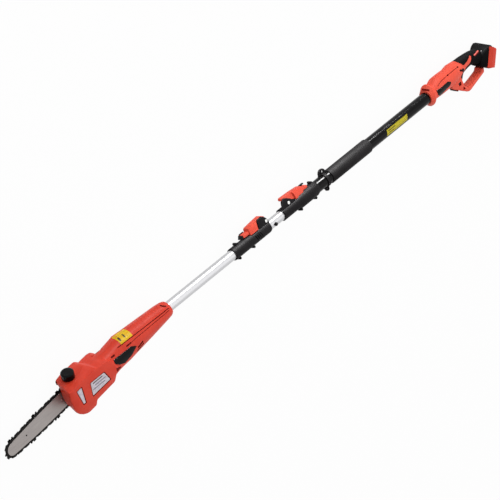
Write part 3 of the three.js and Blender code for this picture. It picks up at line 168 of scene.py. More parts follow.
def add_floor():
    """A floor that looks white and still keeps the object's shadow."""
    mesh = bpy.data.meshes.new("floor")
    r = FLOOR_REACH
    mesh.from_pydata([(-r, -r, 0), (r, -r, 0), (r, r, 0), (-r, r, 0)], [], [(0, 1, 2, 3)])
    floor = bpy.data.objects.new("floor", mesh)
    floor.location = (0, 0, -FLOOR_DROP)
    bpy.context.scene.collection.objects.link(floor)
    material = bpy.data.materials.new("floor")
    material.use_nodes = True
    tree = material.node_tree
    tree.nodes.clear()
    out = tree.nodes.new("ShaderNodeOutputMaterial")
    mix = tree.nodes.new("ShaderNodeMixShader")
    glow = tree.nodes.new("ShaderNodeEmission")
    glow.inputs["Strength"].default_value = 1.0
    plain = tree.nodes.new("ShaderNodeBsdfDiffuse")
    plain.inputs["Color"].default_value = (FLOOR_GREY, FLOOR_GREY, FLOOR_GREY, 1)
    path = tree.nodes.new("ShaderNodeLightPath")
    seen = maths(tree, "MAXIMUM")
    share = maths(tree, "MULTIPLY")
    share.inputs[1].default_value = FLOOR_GLOW
    join(tree,
         (path.outputs["Is Camera Ray"], seen.inputs[0]),
         (path.outputs["Is Glossy Ray"], seen.inputs[1]),
         (seen.outputs[0], share.inputs[0]),
         (share.outputs[0], mix.inputs[0]),
         (plain.outputs[0], mix.inputs[1]),
         (glow.outputs[0], mix.inputs[2]),
         (mix.outputs[0], out.inputs[0]))
    mesh.materials.append(material)


def add_world():
    """A backdrop that looks white, and lights the object more from behind than from ahead."""
    world = bpy.data.worlds.new("studio")
    bpy.context.scene.world = world
    world.use_nodes = True
    tree = world.node_tree
    tree.nodes.clear()
    out = tree.nodes.new("ShaderNodeOutputWorld")
    back = tree.nodes.new("ShaderNodeBackground")
    back.inputs["Color"].default_value = (1, 1, 1, 1)
    place = tree.nodes.new("ShaderNodeTexCoord")
    split = tree.nodes.new("ShaderNodeSeparateXYZ")
    ambient = tree.nodes.new("ShaderNodeMapRange")
    ambient.inputs["From Min"].default_value = AMBIENT_FROM
    ambient.inputs["From Max"].default_value = AMBIENT_TO
    ambient.inputs["To Min"].default_value = AMBIENT_BEHIND
    ambient.inputs["To Max"].default_value = AMBIENT_AHEAD
    # What the camera sees, straight or in a reflection, is plain white
    path = tree.nodes.new("ShaderNodeLightPath")
    seen = maths(tree, "MAXIMUM")
    white = maths(tree, "MAXIMUM")
    level = tree.nodes.new("ShaderNodeMapRange")
    level.inputs["To Max"].default_value = 1.0
    join(tree,
         (place.outputs["Generated"], split.inputs[0]),
         (split.outputs["X"], ambient.inputs["Value"]),
         (ambient.outputs[0], level.inputs["To Min"]),
         (path.outputs["Is Camera Ray"], seen.inputs[0]),
         (path.outputs["Is Transmission Ray"], seen.inputs[1]),
         (seen.outputs[0], white.inputs[0]),
         (path.outputs["Is Glossy Ray"], white.inputs[1]),
         (white.outputs[0], level.inputs["Value"]),
         (level.outputs[0], back.inputs["Strength"]),
         (back.outputs[0], out.inputs[0]))


def add_light(name, place, target, size, power):
    """An area lamp. Its place and its target are given from LIT_PLACE, in metres."""
    start, end = at(*LIT_PLACE) + Vector(place), at(*LIT_PLACE) + Vector(target)
    data = bpy.data.lights.new(name, "AREA")
    data.shape = "RECTANGLE"
    data.size, data.size_y = size
    data.energy = power
    light = bpy.data.objects.new(name, data)
    light.location = start
    light.rotation_euler = (end - start).to_track_quat("-Z", "Y").to_euler()
    bpy.context.scene.collection.objects.link(light)
    return light


def add_lamps():
    """Two softboxes on everything, and three lamps that light only their own pieces."""
    add_light("top_softbox", (-0.4, -1.9, 0.45), (0, 0, 0), (3.0, 0.7), 15)
    add_light("overhead", (-0.8, -0.5, 2.4), (0, 0, 0), (3.4, 2.6), 15)
    lamps = {}
    # Narrow lamps along the pole, which only show as reflections
    for name, rise, width, power in (("tube_lamp", 0.42, 0.18, 27),
                                     ("tube_lamp_on_black", 0.06, 0.7, 950)):
        lamps[name] = add_light(name, (-0.42, -1.9, rise), (-0.42, 0, 0), (3.1, width), power)
        lamps[name].visible_diffuse = False
    fill = add_light("fill_on_bright_red", (-0.22, -1.7, 1.4), (-0.22, 0, 0), (2, 1.2), 11)
    fill.visible_glossy = False
    lamps[fill.name] = fill
    return lamps


def add_studio():
    bpy.context.scene.view_settings.view_transform = "Standard"
    add_floor()
    add_world()
    return add_lamps()


def link_lamps(lamps):
    """Each of these lamps gets its pieces by their first material."""
    dark = (BLACK, SOFT, FOAM, GLOSS)
    groups = {name: bpy.data.collections.new(name + "_receivers") for name in lamps}
    for obj in bpy.context.scene.objects:
        if obj.type != "MESH":
            continue
        material = obj.data.materials[0]
        groups["tube_lamp_on_black" if material in dark else "tube_lamp"].objects.link(obj)
        if material in (BRIGHT_RED, PINK):
            groups["fill_on_bright_red"].objects.link(obj)
    for name, lamp in lamps.items():
        lamp.light_linking.receiver_collection = groups[name]


# ---------------------------------------------------------------- materials
BEVEL_SAMPLES = 6


class Shader:
    """A small builder for one procedural material."""

    def __init__(self, name):
        self.material = bpy.data.materials.new(name)
        self.material.use_nodes = True
        self.tree = self.material.node_tree
        self.bsdf = self.tree.nodes["Principled BSDF"]
        self.coords = self.tree.nodes.new("ShaderNodeTexCoord").outputs["Object"]

    def link(self, a, b):
        self.tree.links.new(a, b)

    def scaled(self, scale):
        node = self.tree.nodes.new("ShaderNodeMapping")
        node.inputs["Scale"].default_value = scale
        self.link(self.coords, node.inputs["Vector"])
        return node.outputs[0]

    def noise(self, size, detail=3, rough=0.5, stretch=(1, 1, 1)):
        node = self.tree.nodes.new("ShaderNodeTexNoise")
        node.inputs["Scale"].default_value = 1 / size
        node.inputs["Detail"].default_value = detail
        node.inputs["Roughness"].default_value = rough
        source = self.coords if stretch == (1, 1, 1) else self.scaled(stretch)
        self.link(source, node.inputs["Vector"])
        return node.outputs["Fac"]

    def remap(self, value, low, high, to_low, to_high):
        node = self.tree.nodes.new("ShaderNodeMapRange")
        node.inputs["From Min"].default_value = low
        node.inputs["From Max"].default_value = high
        node.inputs["To Min"].default_value = to_low
        node.inputs["To Max"].default_value = to_high
        self.link(value, node.inputs["Value"])
        return node.outputs[0]

    def blend(self, factor, a, b):
        """A colour between a and b."""
        node = self.tree.nodes.new("ShaderNodeMix")
        node.data_type = "RGBA"
        # Of the node's many sockets these are the factor, the two colours and the result
        factor_in, a_in, b_in = (node.inputs[i] for i in (0, 6, 7))
        a_in.default_value = (*a, 1)
        b_in.default_value = (*b, 1)
        self.link(factor, factor_in)
        return node.outputs[2]

    def colour(self, value):
        self.link(value, self.bsdf.inputs["Base Color"])

    def rough(self, value):
        self.link(value, self.bsdf.inputs["Roughness"])

    def bump(self, height, depth, strength=1.0, edge=0.0):
        node = self.tree.nodes.new("ShaderNodeBump")
        node.inputs["Distance"].default_value = depth
        node.inputs["Strength"].default_value = strength
        self.link(height, node.inputs["Height"])
        if edge:
            soft = self.tree.nodes.new("ShaderNodeBevel")
            soft.samples = BEVEL_SAMPLES
            soft.inputs["Radius"].default_value = edge
            self.link(soft.outputs[0], node.inputs["Normal"])
        self.link(node.outputs[0], self.bsdf.inputs["Normal"])

    def set(self, name, value):
        self.bsdf.inputs[name].default_value = value


def srgb(*levels):
    """An 8-bit colour as the linear numbers Blender wants."""
    shares = (level / 255 for level in levels)
    return tuple(v / 12.92 if v <= 0.04045 else ((v + 0.055) / 1.055) ** 2.4 for v in shares)


def plastic(name, dark, light, rough=0.4, shine=0.5, grain=0.0006, depth=0.00003, edge=0.0006):
    """A moulded or painted surface: a faint mottle, a fine grain and a softened edge."""
    s = Shader(name)
    s.colour(s.blend(s.remap(s.noise(0.03, 4), 0.35, 0.65, 0, 1), dark, light))
    s.rough(s.remap(s.noise(0.012, 3), 0.3, 0.7, rough - 0.04, rough + 0.05))
    s.bump(s.noise(grain, 2, 0.6), depth, 0.6, edge)
    s.set("Specular IOR Level", shine)
    return s.material


def metal(name, dark, light, rough=0.3, stretch=(1, 1, 1), size=0.002, depth=0.000002,
          edge=0.0003):
    """Metal with streaks, which a stretch below 1 draws out along that axis."""
    s = Shader(name)
    streaks = s.noise(size, 4, 0.6, stretch)
    s.colour(s.blend(s.remap(streaks, 0.3, 0.7, 0, 1), dark, light))
    s.rough(s.remap(streaks, 0.3, 0.7, rough - 0.05, rough + 0.06))
    s.bump(streaks, depth, 0.4, edge)
    s.set("Metallic", 1.0)
    return s.material


def paper(name, ground, stain, size=0.003, rough=0.35):
    """Paper or foil with nothing on it: an even ground with a faint mottle."""
    s = Shader(name)
    s.colour(s.blend(s.remap(s.noise(size, 5, 0.7), 0.4, 0.75, 0, 1), ground, stain))
    s.rough(s.remap(s.noise(0.004, 2), 0.3, 0.7, rough - 0.05, rough + 0.05))
    s.bump(s.noise(0.0008, 2), 0.00001, 0.4)
    s.set("Specular IOR Level", 0.2)
    return s.material


RED = plastic("red_plastic", srgb(220, 57, 34), srgb(227, 65, 42), 0.42, 0.22)
BRIGHT_RED = plastic("bright_red_plastic", srgb(234, 80, 58), srgb(238, 90, 68), 0.46, 0.2)
# The walls of cut grooves, slits and pockets get darker reds: painted shade in the recesses.
SHADE = plastic("bright_red_plastic_painted_groove_shade", srgb(128, 20, 10), srgb(144, 26, 16), 0.7, 0.1)
PAINTED_GROOVE_SHADE = plastic("red_plastic_painted_groove_shade", srgb(112, 16, 10), srgb(126, 22, 16), 0.7, 0.1)
BLACK = plastic("black_plastic", srgb(26, 24, 26), srgb(35, 33, 35), 0.5, 0.045)
SOFT = plastic("soft_black_rubber", srgb(14, 13, 14), srgb(20, 18, 19), 0.6, 0.02,
               grain=0.0012, depth=0.00008)
FOAM = plastic("black_foam", srgb(22, 20, 21), srgb(30, 27, 29), 0.6, 0.07,
               grain=0.0009, depth=0.00006)
GLOSS = plastic("glossy_black_paint", srgb(7, 6, 7), srgb(11, 10, 11), 0.17, 0.1,
                grain=0.01, depth=0.000001, edge=0)
# Near-black for strips laid where an opening or the gaps between ribs lie in shade: painted shade.
PAINTED_RECESS_SHADE = plastic("painted_recess_shade", srgb(6, 5, 6), srgb(9, 8, 9), 0.8, 0.05)
SILVER = metal("anodised_aluminium", srgb(194, 194, 196), srgb(202, 202, 204), 0.34,
               stretch=(0.01, 1, 1), size=0.008, depth=0.0000005, edge=0)
STEEL = metal("bright_steel", srgb(196, 196, 194), srgb(226, 226, 224), 0.25)
DULL_STEEL = metal("dull_steel", srgb(140, 138, 138), srgb(166, 164, 164), 0.5)
DARK_STEEL = metal("chain_steel", srgb(16, 15, 15), srgb(40, 38, 37), 0.38)
BAR = metal("bar_steel", srgb(148, 142, 140), srgb(164, 158, 155), 0.45, stretch=(0.05, 1, 1))
BRASS = metal("brass", srgb(190, 150, 70), srgb(214, 176, 96), 0.3)
AMBER = plastic("oil_tank_plastic", srgb(206, 178, 128), srgb(222, 198, 150), 0.35)
YELLOW = paper("yellow_label", srgb(240, 198, 16), srgb(216, 176, 24))
PALE_YELLOW = paper("pale_yellow_label", srgb(206, 190, 34), srgb(176, 164, 30))
FOIL = paper("grey_label", srgb(228, 219, 228), srgb(176, 168, 182), 0.0035)
PRINT = paper("black_print", srgb(58, 52, 40), srgb(84, 76, 58))
OLIVE_PRINT = paper("olive_print", srgb(84, 76, 20), srgb(110, 100, 30))
GREY_PRINT = paper("grey_print", srgb(128, 122, 134), srgb(160, 152, 162))
WHITE = paper("white_label_edge", srgb(232, 226, 230), srgb(214, 208, 214))
PINK = plastic("pale_red_plastic", srgb(232, 96, 84), srgb(240, 112, 100), 0.4, 0.4)

LOOKS = {
    RED: ("head_shell_left", "head_shell_right", "sprocket_cover"),
    BRIGHT_RED: ("coupling_lever", "slide_clamp_lever", "handle_shell_left", "handle_shell_right",
                 "battery_plate"),
    BLACK: ("coupling_half_left", "coupling_half_right", "slide_clamp_half_left",
            "slide_clamp_half_right", "strap_ring", "coupling_thumb_tab", "slide_clamp_thumb_tab",
            "terminal_block", "trigger", "lock_off_button", "switch", "lead_plug", "lead_socket",
            "locating_button", "oil_pump"),
    SOFT: ("grip_cover_left", "grip_cover_right", "cap_seal", "guide_bush", "lead_front",
           "lead_middle", "lead_coil", "lead_rear", "coupling_jaw", "slide_clamp_jaw"),
    FOAM: ("foam_grip",),
    GLOSS: ("outer_tube", "oil_cap"),
    SILVER: ("head_tube", "middle_tube"),
    STEEL: ("coupling_lever_pin", "slide_clamp_lever_pin", "bar_nut", "bar_stud", "bar_pad",
            "output_shaft", "bevel_gear", "motor_pinion", "motor", "shaft_bearing_left",
            "shaft_bearing_right", "trigger_pin", "trigger_spring", "drive_sprocket",
            "tension_screw"),
    BAR: ("guide_bar",),
    DARK_STEEL: ("saw_chain",),
    BRASS: ("terminal_left", "terminal_right"),
    AMBER: ("oil_tank",),
}


# ---------------------------------------------------------------- smooth shading
GENTLE = math.radians(33)  # a CAD edge that bends less than this is shaded smooth
GENTLE_IN_PIECES = math.radians(35)
WELD, SLIVER, TINY = 2e-6, 1e-6, 1e-7  # distances in metres that count as nothing


def smooth_shading():
    """Geometry nodes that weld a CAD mesh's facets and shade what curves gently as smooth."""
    group = bpy.data.node_groups.new("smooth_shading", "GeometryNodeTree")
    for way_in_or_out in ("INPUT", "OUTPUT"):
        group.interface.new_socket("Geometry", in_out=way_in_or_out,
                                   socket_type="NodeSocketGeometry")
    chain = [group.nodes.new(kind) for kind in (
        "NodeGroupInput", "GeometryNodeRemoveAttribute", "GeometryNodeMergeByDistance",
        "GeometryNodeSetShadeSmooth", "GeometryNodeSetShadeSmooth", "NodeGroupOutput")]
    for a, b in zip(chain, chain[1:]):
        group.links.new(a.outputs[0], b.inputs[0])
    drop, weld, faces, edges = chain[1:5]
    drop.inputs["Name"].default_value = "custom_normal"
    weld.inputs["Distance"].default_value = WELD
    faces.domain = "FACE"
    edges.domain = "EDGE"
    angle = group.nodes.new("GeometryNodeInputMeshEdgeAngle")
    gentle = group.nodes.new("FunctionNodeCompare")
    gentle.operation = "LESS_THAN"
    gentle.inputs[1].default_value = GENTLE
    group.links.new(angle.outputs[0], gentle.inputs[0])
    group.links.new(gentle.outputs[0], edges.inputs["Shade Smooth"])
    return group


def dress_nodes():
    """Gives every CAD node its material and smooth shading."""
    smooth = smooth_shading()
    for material, names in LOOKS.items():
        for name in names:
            node = nodes[name]
            node.data.materials.clear()
            node.data.materials.append(material)
            node.modifiers.new("smooth_shading", "NODES").node_group = smooth


# ---------------------------------------------------------------- pieces
def add_piece(name, mesh, material, node):
    """A new piece that moves with the body of a CAD node."""
    obj = bpy.data.objects.new(name, mesh)
    bpy.context.scene.collection.objects.link(obj)
    if not mesh.materials:
        mesh.materials.append(material)
    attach(obj, nodes[node]["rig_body"])
    return obj


def finished_mesh(name, bm):
    bmesh.ops.recalc_face_normals(bm, faces=bm.faces)
    mesh = bpy.data.meshes.new(name)
    bm.to_mesh(mesh)
    bm.free()
    mesh.shade_smooth()
    mesh.set_sharp_from_angle(angle=GENTLE_IN_PIECES)
    return mesh


def surface(*names):
    """A search tree over the faces of some CAD nodes."""
    points, faces = [], []
    for name in names:
        mesh = nodes[name].data
        first = len(points)
        points += [v.co.copy() for v in mesh.vertices]
        faces += [[first + i for i in p.vertices] for p in mesh.polygons]
    return BVHTree.FromPolygons(points, faces)


CORNER_STEPS = 4
SIDE_SHARE = 0.45  # the most of a side that one rounded corner takes
LEAST_SHARE = 0.05  # a corner that can be rounded by less than this share of the radius stays


def rounded(corners, radius):
    """A flat outline with its corners rounded."""
    if not radius:
        return corners
    outline = []
    for i, corner in enumerate(corners):
        a = corners[i - 1] - corner
        b = corners[(i + 1) % len(corners)] - corner
        half = max(a.angle(b, math.pi) / 2, 0.05)
        cut = min(radius / math.tan(half), a.length * SIDE_SHARE, b.length * SIDE_SHARE)
        if cut < radius * LEAST_SHARE:
            outline.append(corner)
            continue
        start, end = corner + a.normalized() * cut, corner + b.normalized() * cut
        for k in range(CORNER_STEPS + 1):
            t = k / CORNER_STEPS
            outline.append((1 - t) ** 2 * start + 2 * t * (1 - t) * corner + t * t * end)
    return outline


NARROWEST = 0.4  # keeps a sharp corner from moving out too far


def offset(corners, distance):
    """A flat outline moved outwards by a distance."""
    area = sum(a.cross(b) for a, b in zip(corners, corners[1:] + corners[:1]))
    moved = []
    for i, corner in enumerate(corners):
        a = (corner - corners[i - 1]).normalized()
        b = (corners[(i + 1) % len(corners)] - corner).normalized()
        out = Vector((a.y + b.y, -a.x - b.x)).normalized() * math.copysign(1, area)
        moved.append(corner + out * distance / max(math.sqrt((1 + a.dot(b)) / 2), NARROWEST))
    return moved


def band(path, width):
    """The outline of a strip of some width along a flat path."""
    sides = ([], [])
    for i, point in enumerate(path):
        ahead = path[min(i + 1, len(path) - 1)] - path[max(i - 1, 0)]
        across = Vector((-ahead.y, ahead.x)).normalized() * width / 2
        sides[0].append(point + across)
        sides[1].append(point - across)
    return sides[0] + sides[1][::-1]


RAY_START = 0.1  # how far above a surface the search for it starts, in metres


def laid(points, facing, tree, top, bottom, radius=1.0, width=None, step=5, grow=0.0):
    """A closed mesh that follows a surface: its outline passes through `points` (tool
    points, in mm), it is seen along `facing`, and it reaches from `bottom` to `top`
    above the surface. With a `width`, the points are the middle line of a strip. The
    outline's corners are rounded, and `grow` moves it outwards."""
    n = way(*facing)
    u = (Vector((1, 0, 0)) - n * n.x).normalized() if abs(n.x) < 0.9 else way(0, 1, 0)
    v = n.cross(u)
    solid = [at(*p) for p in points]
    flat = [Vector((p.dot(u), p.dot(v))) for p in solid]
    if width:
        flat = band(flat, width / PER_METRE)
    if grow:
        flat = offset(flat, grow / PER_METRE)
    outline = rounded(flat, radius / PER_METRE)
    far = max(p.dot(n) for p in solid) + RAY_START
    bm = bmesh.new()
    bm.faces.new([bm.verts.new(u * p.x + v * p.y + n * far) for p in outline])
    for axis, k in ((u, 0), (v, 1)):
        low, high = min(p[k] for p in outline), max(p[k] for p in outline)
        cuts = int((high - low) / (step / PER_METRE))
        for i in range(cuts):
            place = axis * (low + (high - low) * (i + 1) / (cuts + 1))
            bmesh.ops.bisect_plane(bm, geom=bm.verts[:] + bm.edges[:] + bm.faces[:], dist=TINY,
                                   plane_co=place, plane_no=axis)
    for vert in bm.verts:
        hit = tree.ray_cast(vert.co, -n)[0]
        if hit is None:
            hit = tree.find_nearest(vert.co - n * RAY_START)[0]
        vert.co = hit + n * bottom / PER_METRE
    raised = bmesh.ops.extrude_face_region(bm, geom=bm.faces[:])
    for vert in (g for g in raised["geom"] if isinstance(g, bmesh.types.BMVert)):
        vert.co += n * (top - bottom) / PER_METRE
    return bm


def lay(name, node, material, points, facing, tree, top=0.3, bottom=-0.4, edge=0.0, **shape):
    """A thin piece on a surface, such as a label or a badge."""
    bm = laid(points, facing, tree, top, bottom, **shape)
    obj = add_piece(name, finished_mesh(name, bm), material, node)
    if edge:
        soft = obj.modifiers.new("edge", "BEVEL")
        soft.width = edge / PER_METRE
        soft.segments = 2
        soft.limit_method = "ANGLE"
        soft.angle_limit = math.radians(50)
    return obj


def circle(sides):
    """The corners of a regular outline of radius 1."""
    return [(math.cos(t), math.sin(t)) for t in (2 * math.pi * k / sides for k in range(sides))]


def turned(name, node, material, place, axis, profile, sides):
    """A turned piece. The profile is (radius, height) in mm, from axis to axis."""
    n = axis.normalized()
    u = n.orthogonal().normalized()
    v = n.cross(u)
    bm = bmesh.new()
    rings = []
    for radius, height in profile:
        middle = place + n * height / PER_METRE
        if radius == 0:
            rings.append([bm.verts.new(middle)])
            continue
        rings.append([bm.verts.new(middle + (u * c + v * s) * radius / PER_METRE)
                      for c, s in circle(sides)])
    for a, b in zip(rings, rings[1:]):
        for k in range(sides):
            corner = [a[k % len(a)], a[(k + 1) % len(a)], b[(k + 1) % len(b)], b[k % len(b)]]
            bm.faces.new(list(dict.fromkeys(corner)))
    return add_piece(name, finished_mesh(name, bm), material, node)


def carve(node, material, cutters):
    """A copy of a CAD node with recesses cut into it, which stands for that node."""
    source = nodes[node].data
    bm = bmesh.new()
    points = [bm.verts.new(v.co) for v in source.vertices]
    for polygon in source.polygons:
        bm.faces.new([points[i] for i in polygon.vertices])
    bmesh.ops.remove_doubles(bm, verts=bm.verts, dist=WELD)
    bmesh.ops.dissolve_degenerate(bm, edges=bm.edges, dist=SLIVER)
    mesh = bpy.data.meshes.new(node + "_blank")
    bm.to_mesh(mesh)
    bm.free()
    mesh.materials.append(material)
    blank = bpy.data.objects.new(node + "_blank", mesh)
    bpy.context.scene.collection.objects.link(blank)
    tools = []
    for i, (bm, inside) in enumerate(cutters):
        tool_mesh = finished_mesh(f"{node}_cutter_{i}", bm)
        tool_mesh.materials.append(inside)
        tool = bpy.data.objects.new(tool_mesh.name, tool_mesh)
        bpy.context.scene.collection.objects.link(tool)
        cut = blank.modifiers.new(f"cut_{i}", "BOOLEAN")
        cut.operation = "DIFFERENCE"
        cut.solver = "EXACT"
        cut.material_mode = "TRANSFER"
        cut.object = tool
        tools.append(tool)
    depsgraph = bpy.context.evaluated_depsgraph_get()
    result = bpy.data.meshes.new_from_object(blank.evaluated_get(depsgraph))
    result.name = node + "_detailed"
    result.shade_smooth()
    result.set_sharp_from_angle(angle=GENTLE)
    for spare in (*tools, blank):
        bpy.data.objects.remove(spare)
    obj = add_piece(node + "_detailed", result, material, node)
    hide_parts(node)
    return obj


def prism(corners, low, high, place, radius=0.0):
    """A closed solid: a flat outline in mm, from `low` to `high` across it. `place` turns
    a point of it into a tool point."""
    outline = rounded([Vector(c) for c in corners], radius)
    bm = bmesh.new()
    ends = [[bm.verts.new(at(*place(p.x, p.y, w))) for p in outline] for w in (low, high)]
    bm.faces.new(ends[0])
    bm.faces.new(ends[1][::-1])
    for i in range(len(outline)):
        bm.faces.new([ends[0][i - 1], ends[0][i], ends[1][i], ends[1][i - 1]])
    return bm


CUT_TOP = 1.5  # how far a cutter stands proud of the surface it cuts


def cutter(tree):
    """What makes cutters for carve() that follow the surfaces of a search tree."""
    # A cut's walls take `inside`, by default a dark red that is painted shade.
    def cut(points, depth, inside=PAINTED_GROOVE_SHADE, facing=LEFT, **shape):
        return laid(points, facing, tree, CUT_TOP, -depth, **shape), inside
    return cut


# ---------------------------------------------------------------- cutting head
HEAD_SIDE = 30  # how far left the head's flat side lies
NARROW_PANEL = [(603, -0.5, HEAD_SIDE), (590, 1.5, HEAD_SIDE),
                (590, -37.6, HEAD_SIDE), (595.5, -37.6, HEAD_SIDE)]
WIDE_PANEL = [(563, -5.5, HEAD_SIDE), (521.5, -5.6, HEAD_SIDE),
              (510.5, -30.5, HEAD_SIDE), (565.5, -36, HEAD_SIDE)]
NECK_BADGE = [(485, 2, 26), (430, 3, 27), (414, -6.5, 28), (432, -17, 27),
              (456, -24.5, 26), (473, -18, 27), (484.5, -8, 28)]
NECK_SEAM = [(459, 16.4, 19), (444, 16.8, 21), (411, 16, 21),
             (356, 14, 20), (318, 12.2, 19), (290, 10.6, 17)]
NECK_LINE = [(425, 9, 25.6), (397, 9, 24.3), (344, 8, 22.4), (293, 7, 19.6)]
NECK_LABEL = [(448, 17.4, 20), (411, 17.4, 20), (409, 22.5, -12), (446, 22.5, -12)]
LABEL_FACING = (0, 0.8, 0.6)


def dress_head():
    tree = surface("head_shell_left", "head_shell_right")
    cut = cutter(tree)
    carve("head_shell_left", RED, [
        cut(NARROW_PANEL, 1.4, grow=2.2, radius=2.5),
        cut(WIDE_PANEL, 1.4, grow=2.2, radius=2.5),
        # the grooves along the neck, and the slits beside the badge
        cut(NECK_SEAM, 1.4, facing=UPPER_LEFT, width=1.8, radius=0.8),
        cut([(441, 9.2, 26), (425, 9, 25.7)], 1.6, width=3.2, radius=1.5),
        cut(NECK_LINE, 0.9, width=1.2, radius=0.5),
        cut([(411, -14.2, 26.7), (392, -8.6, 26.4)], 2.2, width=4.6, radius=2),
        cut([(414, -22.5, 24), (390, -15.3, 25)], 2.2, width=4.2, radius=1.8),
        cut([(487, 8.8, 22.7), (475, 8.8, 22.8)], 2.0, facing=UPPER_LEFT, width=4, radius=1.9),
        cut([(487, -17, 29), (470, -25, 26), (470, -29.5, 25), (487, -27, 28)], 1.2, radius=1),
        # the groove round the neck's rear end
        cut([(301, 20.6, 2), (299.5, 19.6, 8.3), (296, 18, 11), (292.5, 15.8, 13.4)], 1.4,
            facing=UPPER_LEFT, width=4.4, radius=2),
    ])

    for name, outline, inset in (("narrow_panel", NARROW_PANEL, -0.8),
                                 ("wide_panel", WIDE_PANEL, -1.6)):
        lay(name + "_edge", "head_shell_left", WHITE, outline, LEFT, tree,
            top=-0.45, bottom=-1.6, radius=1.5)
        lay(name, "head_shell_left", FOIL, outline, LEFT, tree,
            top=-0.35, bottom=-1.5, radius=1.2, grow=inset)
    lay("neck_badge", "head_shell_left", GLOSS, NECK_BADGE, LEFT, tree,
        top=0.8, radius=1.5, edge=0.3)
    lay("neck_label", "head_shell_left", YELLOW, NECK_LABEL, LABEL_FACING, tree,
        top=0.25, radius=2, step=3)
    # A near-black strip in the mouth at the head's front: painted shade of the opening.
    lay("front_opening_painted_shade", "head_shell_right", PAINTED_RECESS_SHADE,
        [(609, 13, -27), (610, 5, -26), (611, -4, -25)], (1, 0, 0), tree,
        top=1.2, bottom=-1, width=3, radius=0.5)
    for name, x in (("neck_print_front", 441), ("neck_print_rear", 427)):
        lay(name, "head_shell_left", PRINT, [(x, 26, 4), (x + 2, 22.3, 15)], LABEL_FACING, tree,
            top=0.4, bottom=0, width=3.6, radius=1.2, step=3)
    for i, (front, rear, ink) in enumerate(((558, 528, PRINT), (553, 520, GREY_PRINT),
                                            (562, 524, GREY_PRINT))):
        up = -9.5 - 7 * i
        lay(f"panel_print_{i}", "head_shell_left", ink,
            [(front, up, HEAD_SIDE), (rear, up, HEAD_SIDE)], LEFT, tree,
            top=-0.2, bottom=-0.6, width=2.2, radius=0.8)

    bar = surface("guide_bar")
    for name, x, up, radius, material in (("bar_rivet_rear", 613, -28.6, 2.4, STEEL),
                                          ("bar_rivet_nose", 727, -44, 1.9, DARK_STEEL)):
        face = bar.ray_cast(at(x, up, 50), -way(*LEFT))[0]
        turned(name, "guide_bar", material, face, way(*LEFT),
               [(0, 0.35), (radius * 0.7, 0.3), (radius, 0.1), (radius, -0.2), (0, -0.2)], 20)


# ---------------------------------------------------------------- handle
HANDLE_BADGE = [(-771, 13, 19), (-820, 15.5, 23), (-832, 9, 23), (-829, 0, 22),
                (-808, -3.5, 20), (-792, -8.5, 17), (-783, -9, 16), (-774, -1, 18)]
HANDLE_SEAM = [(-781, 20.6, 18), (-796, 26.4, 17.6), (-830, 27.6, 16.6),
               (-853, 28.2, 17), (-877, 28.4, 17)]
FLARE_GROOVE = [(-749.6, 22.2, -10.9), (-748, 23.7, -2.6), (-748.3, 23.8, 4.1), (-751, 22, 12.5)]
TAIL_FACING = (0, 0.4, 0.92)


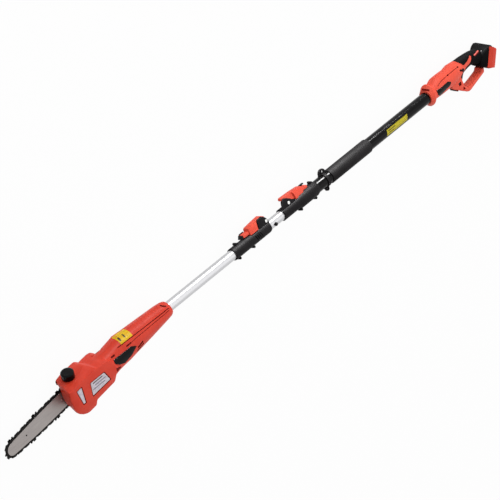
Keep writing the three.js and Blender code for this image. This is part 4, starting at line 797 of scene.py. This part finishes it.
def dress_handle():
    tree = surface("handle_shell_left", "handle_shell_right")
    cut = cutter(tree)

    def flare_groove():
        return cut(FLARE_GROOVE, 1.6, SHADE, facing=(0.75, 0.65, 0.1), width=5.6, radius=1.5)

    carve("handle_shell_left", BRIGHT_RED, [
        # the seam under the top, with a widening at its middle and at its end
        cut(HANDLE_SEAM, 1.0, facing=UPPER_LEFT, width=1.4, radius=0.6),
        cut([(-828, 27.6, 16.6), (-834, 27.7, 16.6)], 1.8, facing=UPPER_LEFT, width=4, radius=1.9),
        cut([(-874, 28.4, 17), (-880, 28.4, 17)], 1.8, facing=UPPER_LEFT, width=4, radius=1.9),
        # the pocket by the grip, and the two in front of the hand guard
        cut([(-877, 19.5, 21), (-886, 19, 21), (-893, 14, 21), (-888, 11, 21), (-880, 13.5, 21)],
            2.0, BLACK, radius=1.5),
        cut([(-876, -21, 13), (-888, -20.5, 13), (-889, -31, 13), (-879, -32, 13)],
            2.4, SHADE, radius=2),
        cut([(-897, -40, 13), (-905, -51, 13), (-893, -50, 13)], 2.2, SHADE, radius=1),
        flare_groove(),
    ])
    carve("handle_shell_right", BRIGHT_RED, [flare_groove()])
    lay("handle_badge", "handle_shell_left", GLOSS, HANDLE_BADGE, LEFT, tree,
        top=0.8, radius=1.5, edge=0.3)

    tail = surface("grip_cover_left", "battery_plate")
    lay("tail_accent", "grip_cover_left", PINK,
        [(-957, 22.2, 15), (-970, 23, 13.5), (-985, 22.8, 10.5)], TAIL_FACING, tail,
        top=0.6, width=3.6, radius=1.6, edge=0.2)
    # A dark red strip under the accent: a painted shadow.
    lay("tail_accent_shadow", "grip_cover_left", PAINTED_GROOVE_SHADE,
        [(-960, 19.5, 15), (-972, 20, 14.5), (-982, 19.6, 12.5)], TAIL_FACING, tail,
        top=0.2, width=2.4, radius=1)
    for name, corners in (
            ("foot_side_band", [(0, -29.5), (13, -28.5), (13, 29), (0, 27)]),
            ("foot_side_band_rear", [(-13.5, -30), (0, -29.5), (0, 27), (-13.5, 19.5)])):
        side = finished_mesh(name, prism(corners, 33.2, 34.7, tail_side))
        add_piece(name, side, RED, "battery_plate")
    upper_rear_corner = prism([(2, 27.5), (2, 38), (-18, 38), (-18, 19)], -42, 42, foot_at)
    carve("battery_plate", BRIGHT_RED, [(upper_rear_corner, BRIGHT_RED)])

    lay("guard_bumper", "handle_shell_left", SOFT,
        [(-851, -29, 5), (-862, -38, 5), (-874, -47.5, 5)], (0.66, -0.75, 0), tree,
        top=3, bottom=-1, width=9, radius=2, edge=0.6)
    turned("tail_screw", "grip_cover_left", DULL_STEEL, at(-993, 17, 15), way(0.3, 0.6, 0.75),
           [(0, 0.2), (1.2, 0.2), (1.4, 1.0), (2.2, 0.9), (2.7, 0.2), (2.7, -1), (0, -1)], 16)
    turned("guard_screw", "handle_shell_left", DARK_STEEL, at(-883, -26, 11), way(*LEFT),
           [(0, -0.2), (1.2, -0.2), (1.5, 0.6), (2.6, 0.5), (3.2, -0.2), (3.2, -1.4), (0, -1.4)],
           16)


# ---------------------------------------------------------------- pole
STRAP_EYE = (-305, -19.6, 3)
STRAP_EYE_RADIUS = 0.002  # metres
CLAMP_SIDE = (0, 0.26, 0.97)


def dress_pole():
    tube = surface("outer_tube")
    lay("pole_label", "outer_tube", PALE_YELLOW,
        [(-551, -4.5, 15), (-556, 10, 12.4), (-645, 10, 12.4), (-640, -4.5, 15)], LABEL_SIDE, tube,
        top=0.15, bottom=-0.2, radius=1, step=2.5)
    for i, (front, rear) in enumerate(((-560, -590), (-562, -582))):
        up = 6 - 6 * i
        lay(f"pole_print_{i}", "outer_tube", OLIVE_PRINT, [(front, up, 14), (rear, up, 14)],
            LABEL_SIDE, tube, top=0.25, bottom=0, width=2, radius=0.8, step=2.5)

    coupling = surface("coupling_half_left")
    # Near-black strips between the coupling's ribs: painted shade of recesses that are not cut.
    for i in range(4):
        x = -26 - 6 * i
        lay(f"coupling_rib_recess_{i}", "coupling_half_left", PAINTED_RECESS_SHADE,
            [(x, 10, 11), (x - 2, 4, 14.5), (x - 4.5, -4, 15)], LABEL_SIDE, coupling,
            top=0.12, width=2.6, radius=1, step=2.5)

    hole = bmesh.new()
    turn = way(*CLAMP_SIDE).to_track_quat("Z", "Y").to_matrix().to_4x4()
    bmesh.ops.create_cone(hole, cap_ends=True, segments=20, radius1=STRAP_EYE_RADIUS,
                          radius2=STRAP_EYE_RADIUS, depth=0.06,
                          matrix=Matrix.Translation(at(*STRAP_EYE)) @ turn)
    carve("strap_ring", BLACK, [(hole, BLACK)])
    ridge = prism([(-225, 25.6), (-244, 25.6), (-247, 27), (-245, 28.6), (-226, 28.4)],
                  -10.5, -6, fitting_at, 1)
    add_piece("slide_clamp_tab_ridge", finished_mesh("slide_clamp_tab_ridge", ridge), BLACK,
              "slide_clamp_thumb_tab")


add_camera()
lamps = add_studio()
dress_nodes()
dress_head()
dress_handle()
dress_pole()
link_lamps(lamps)
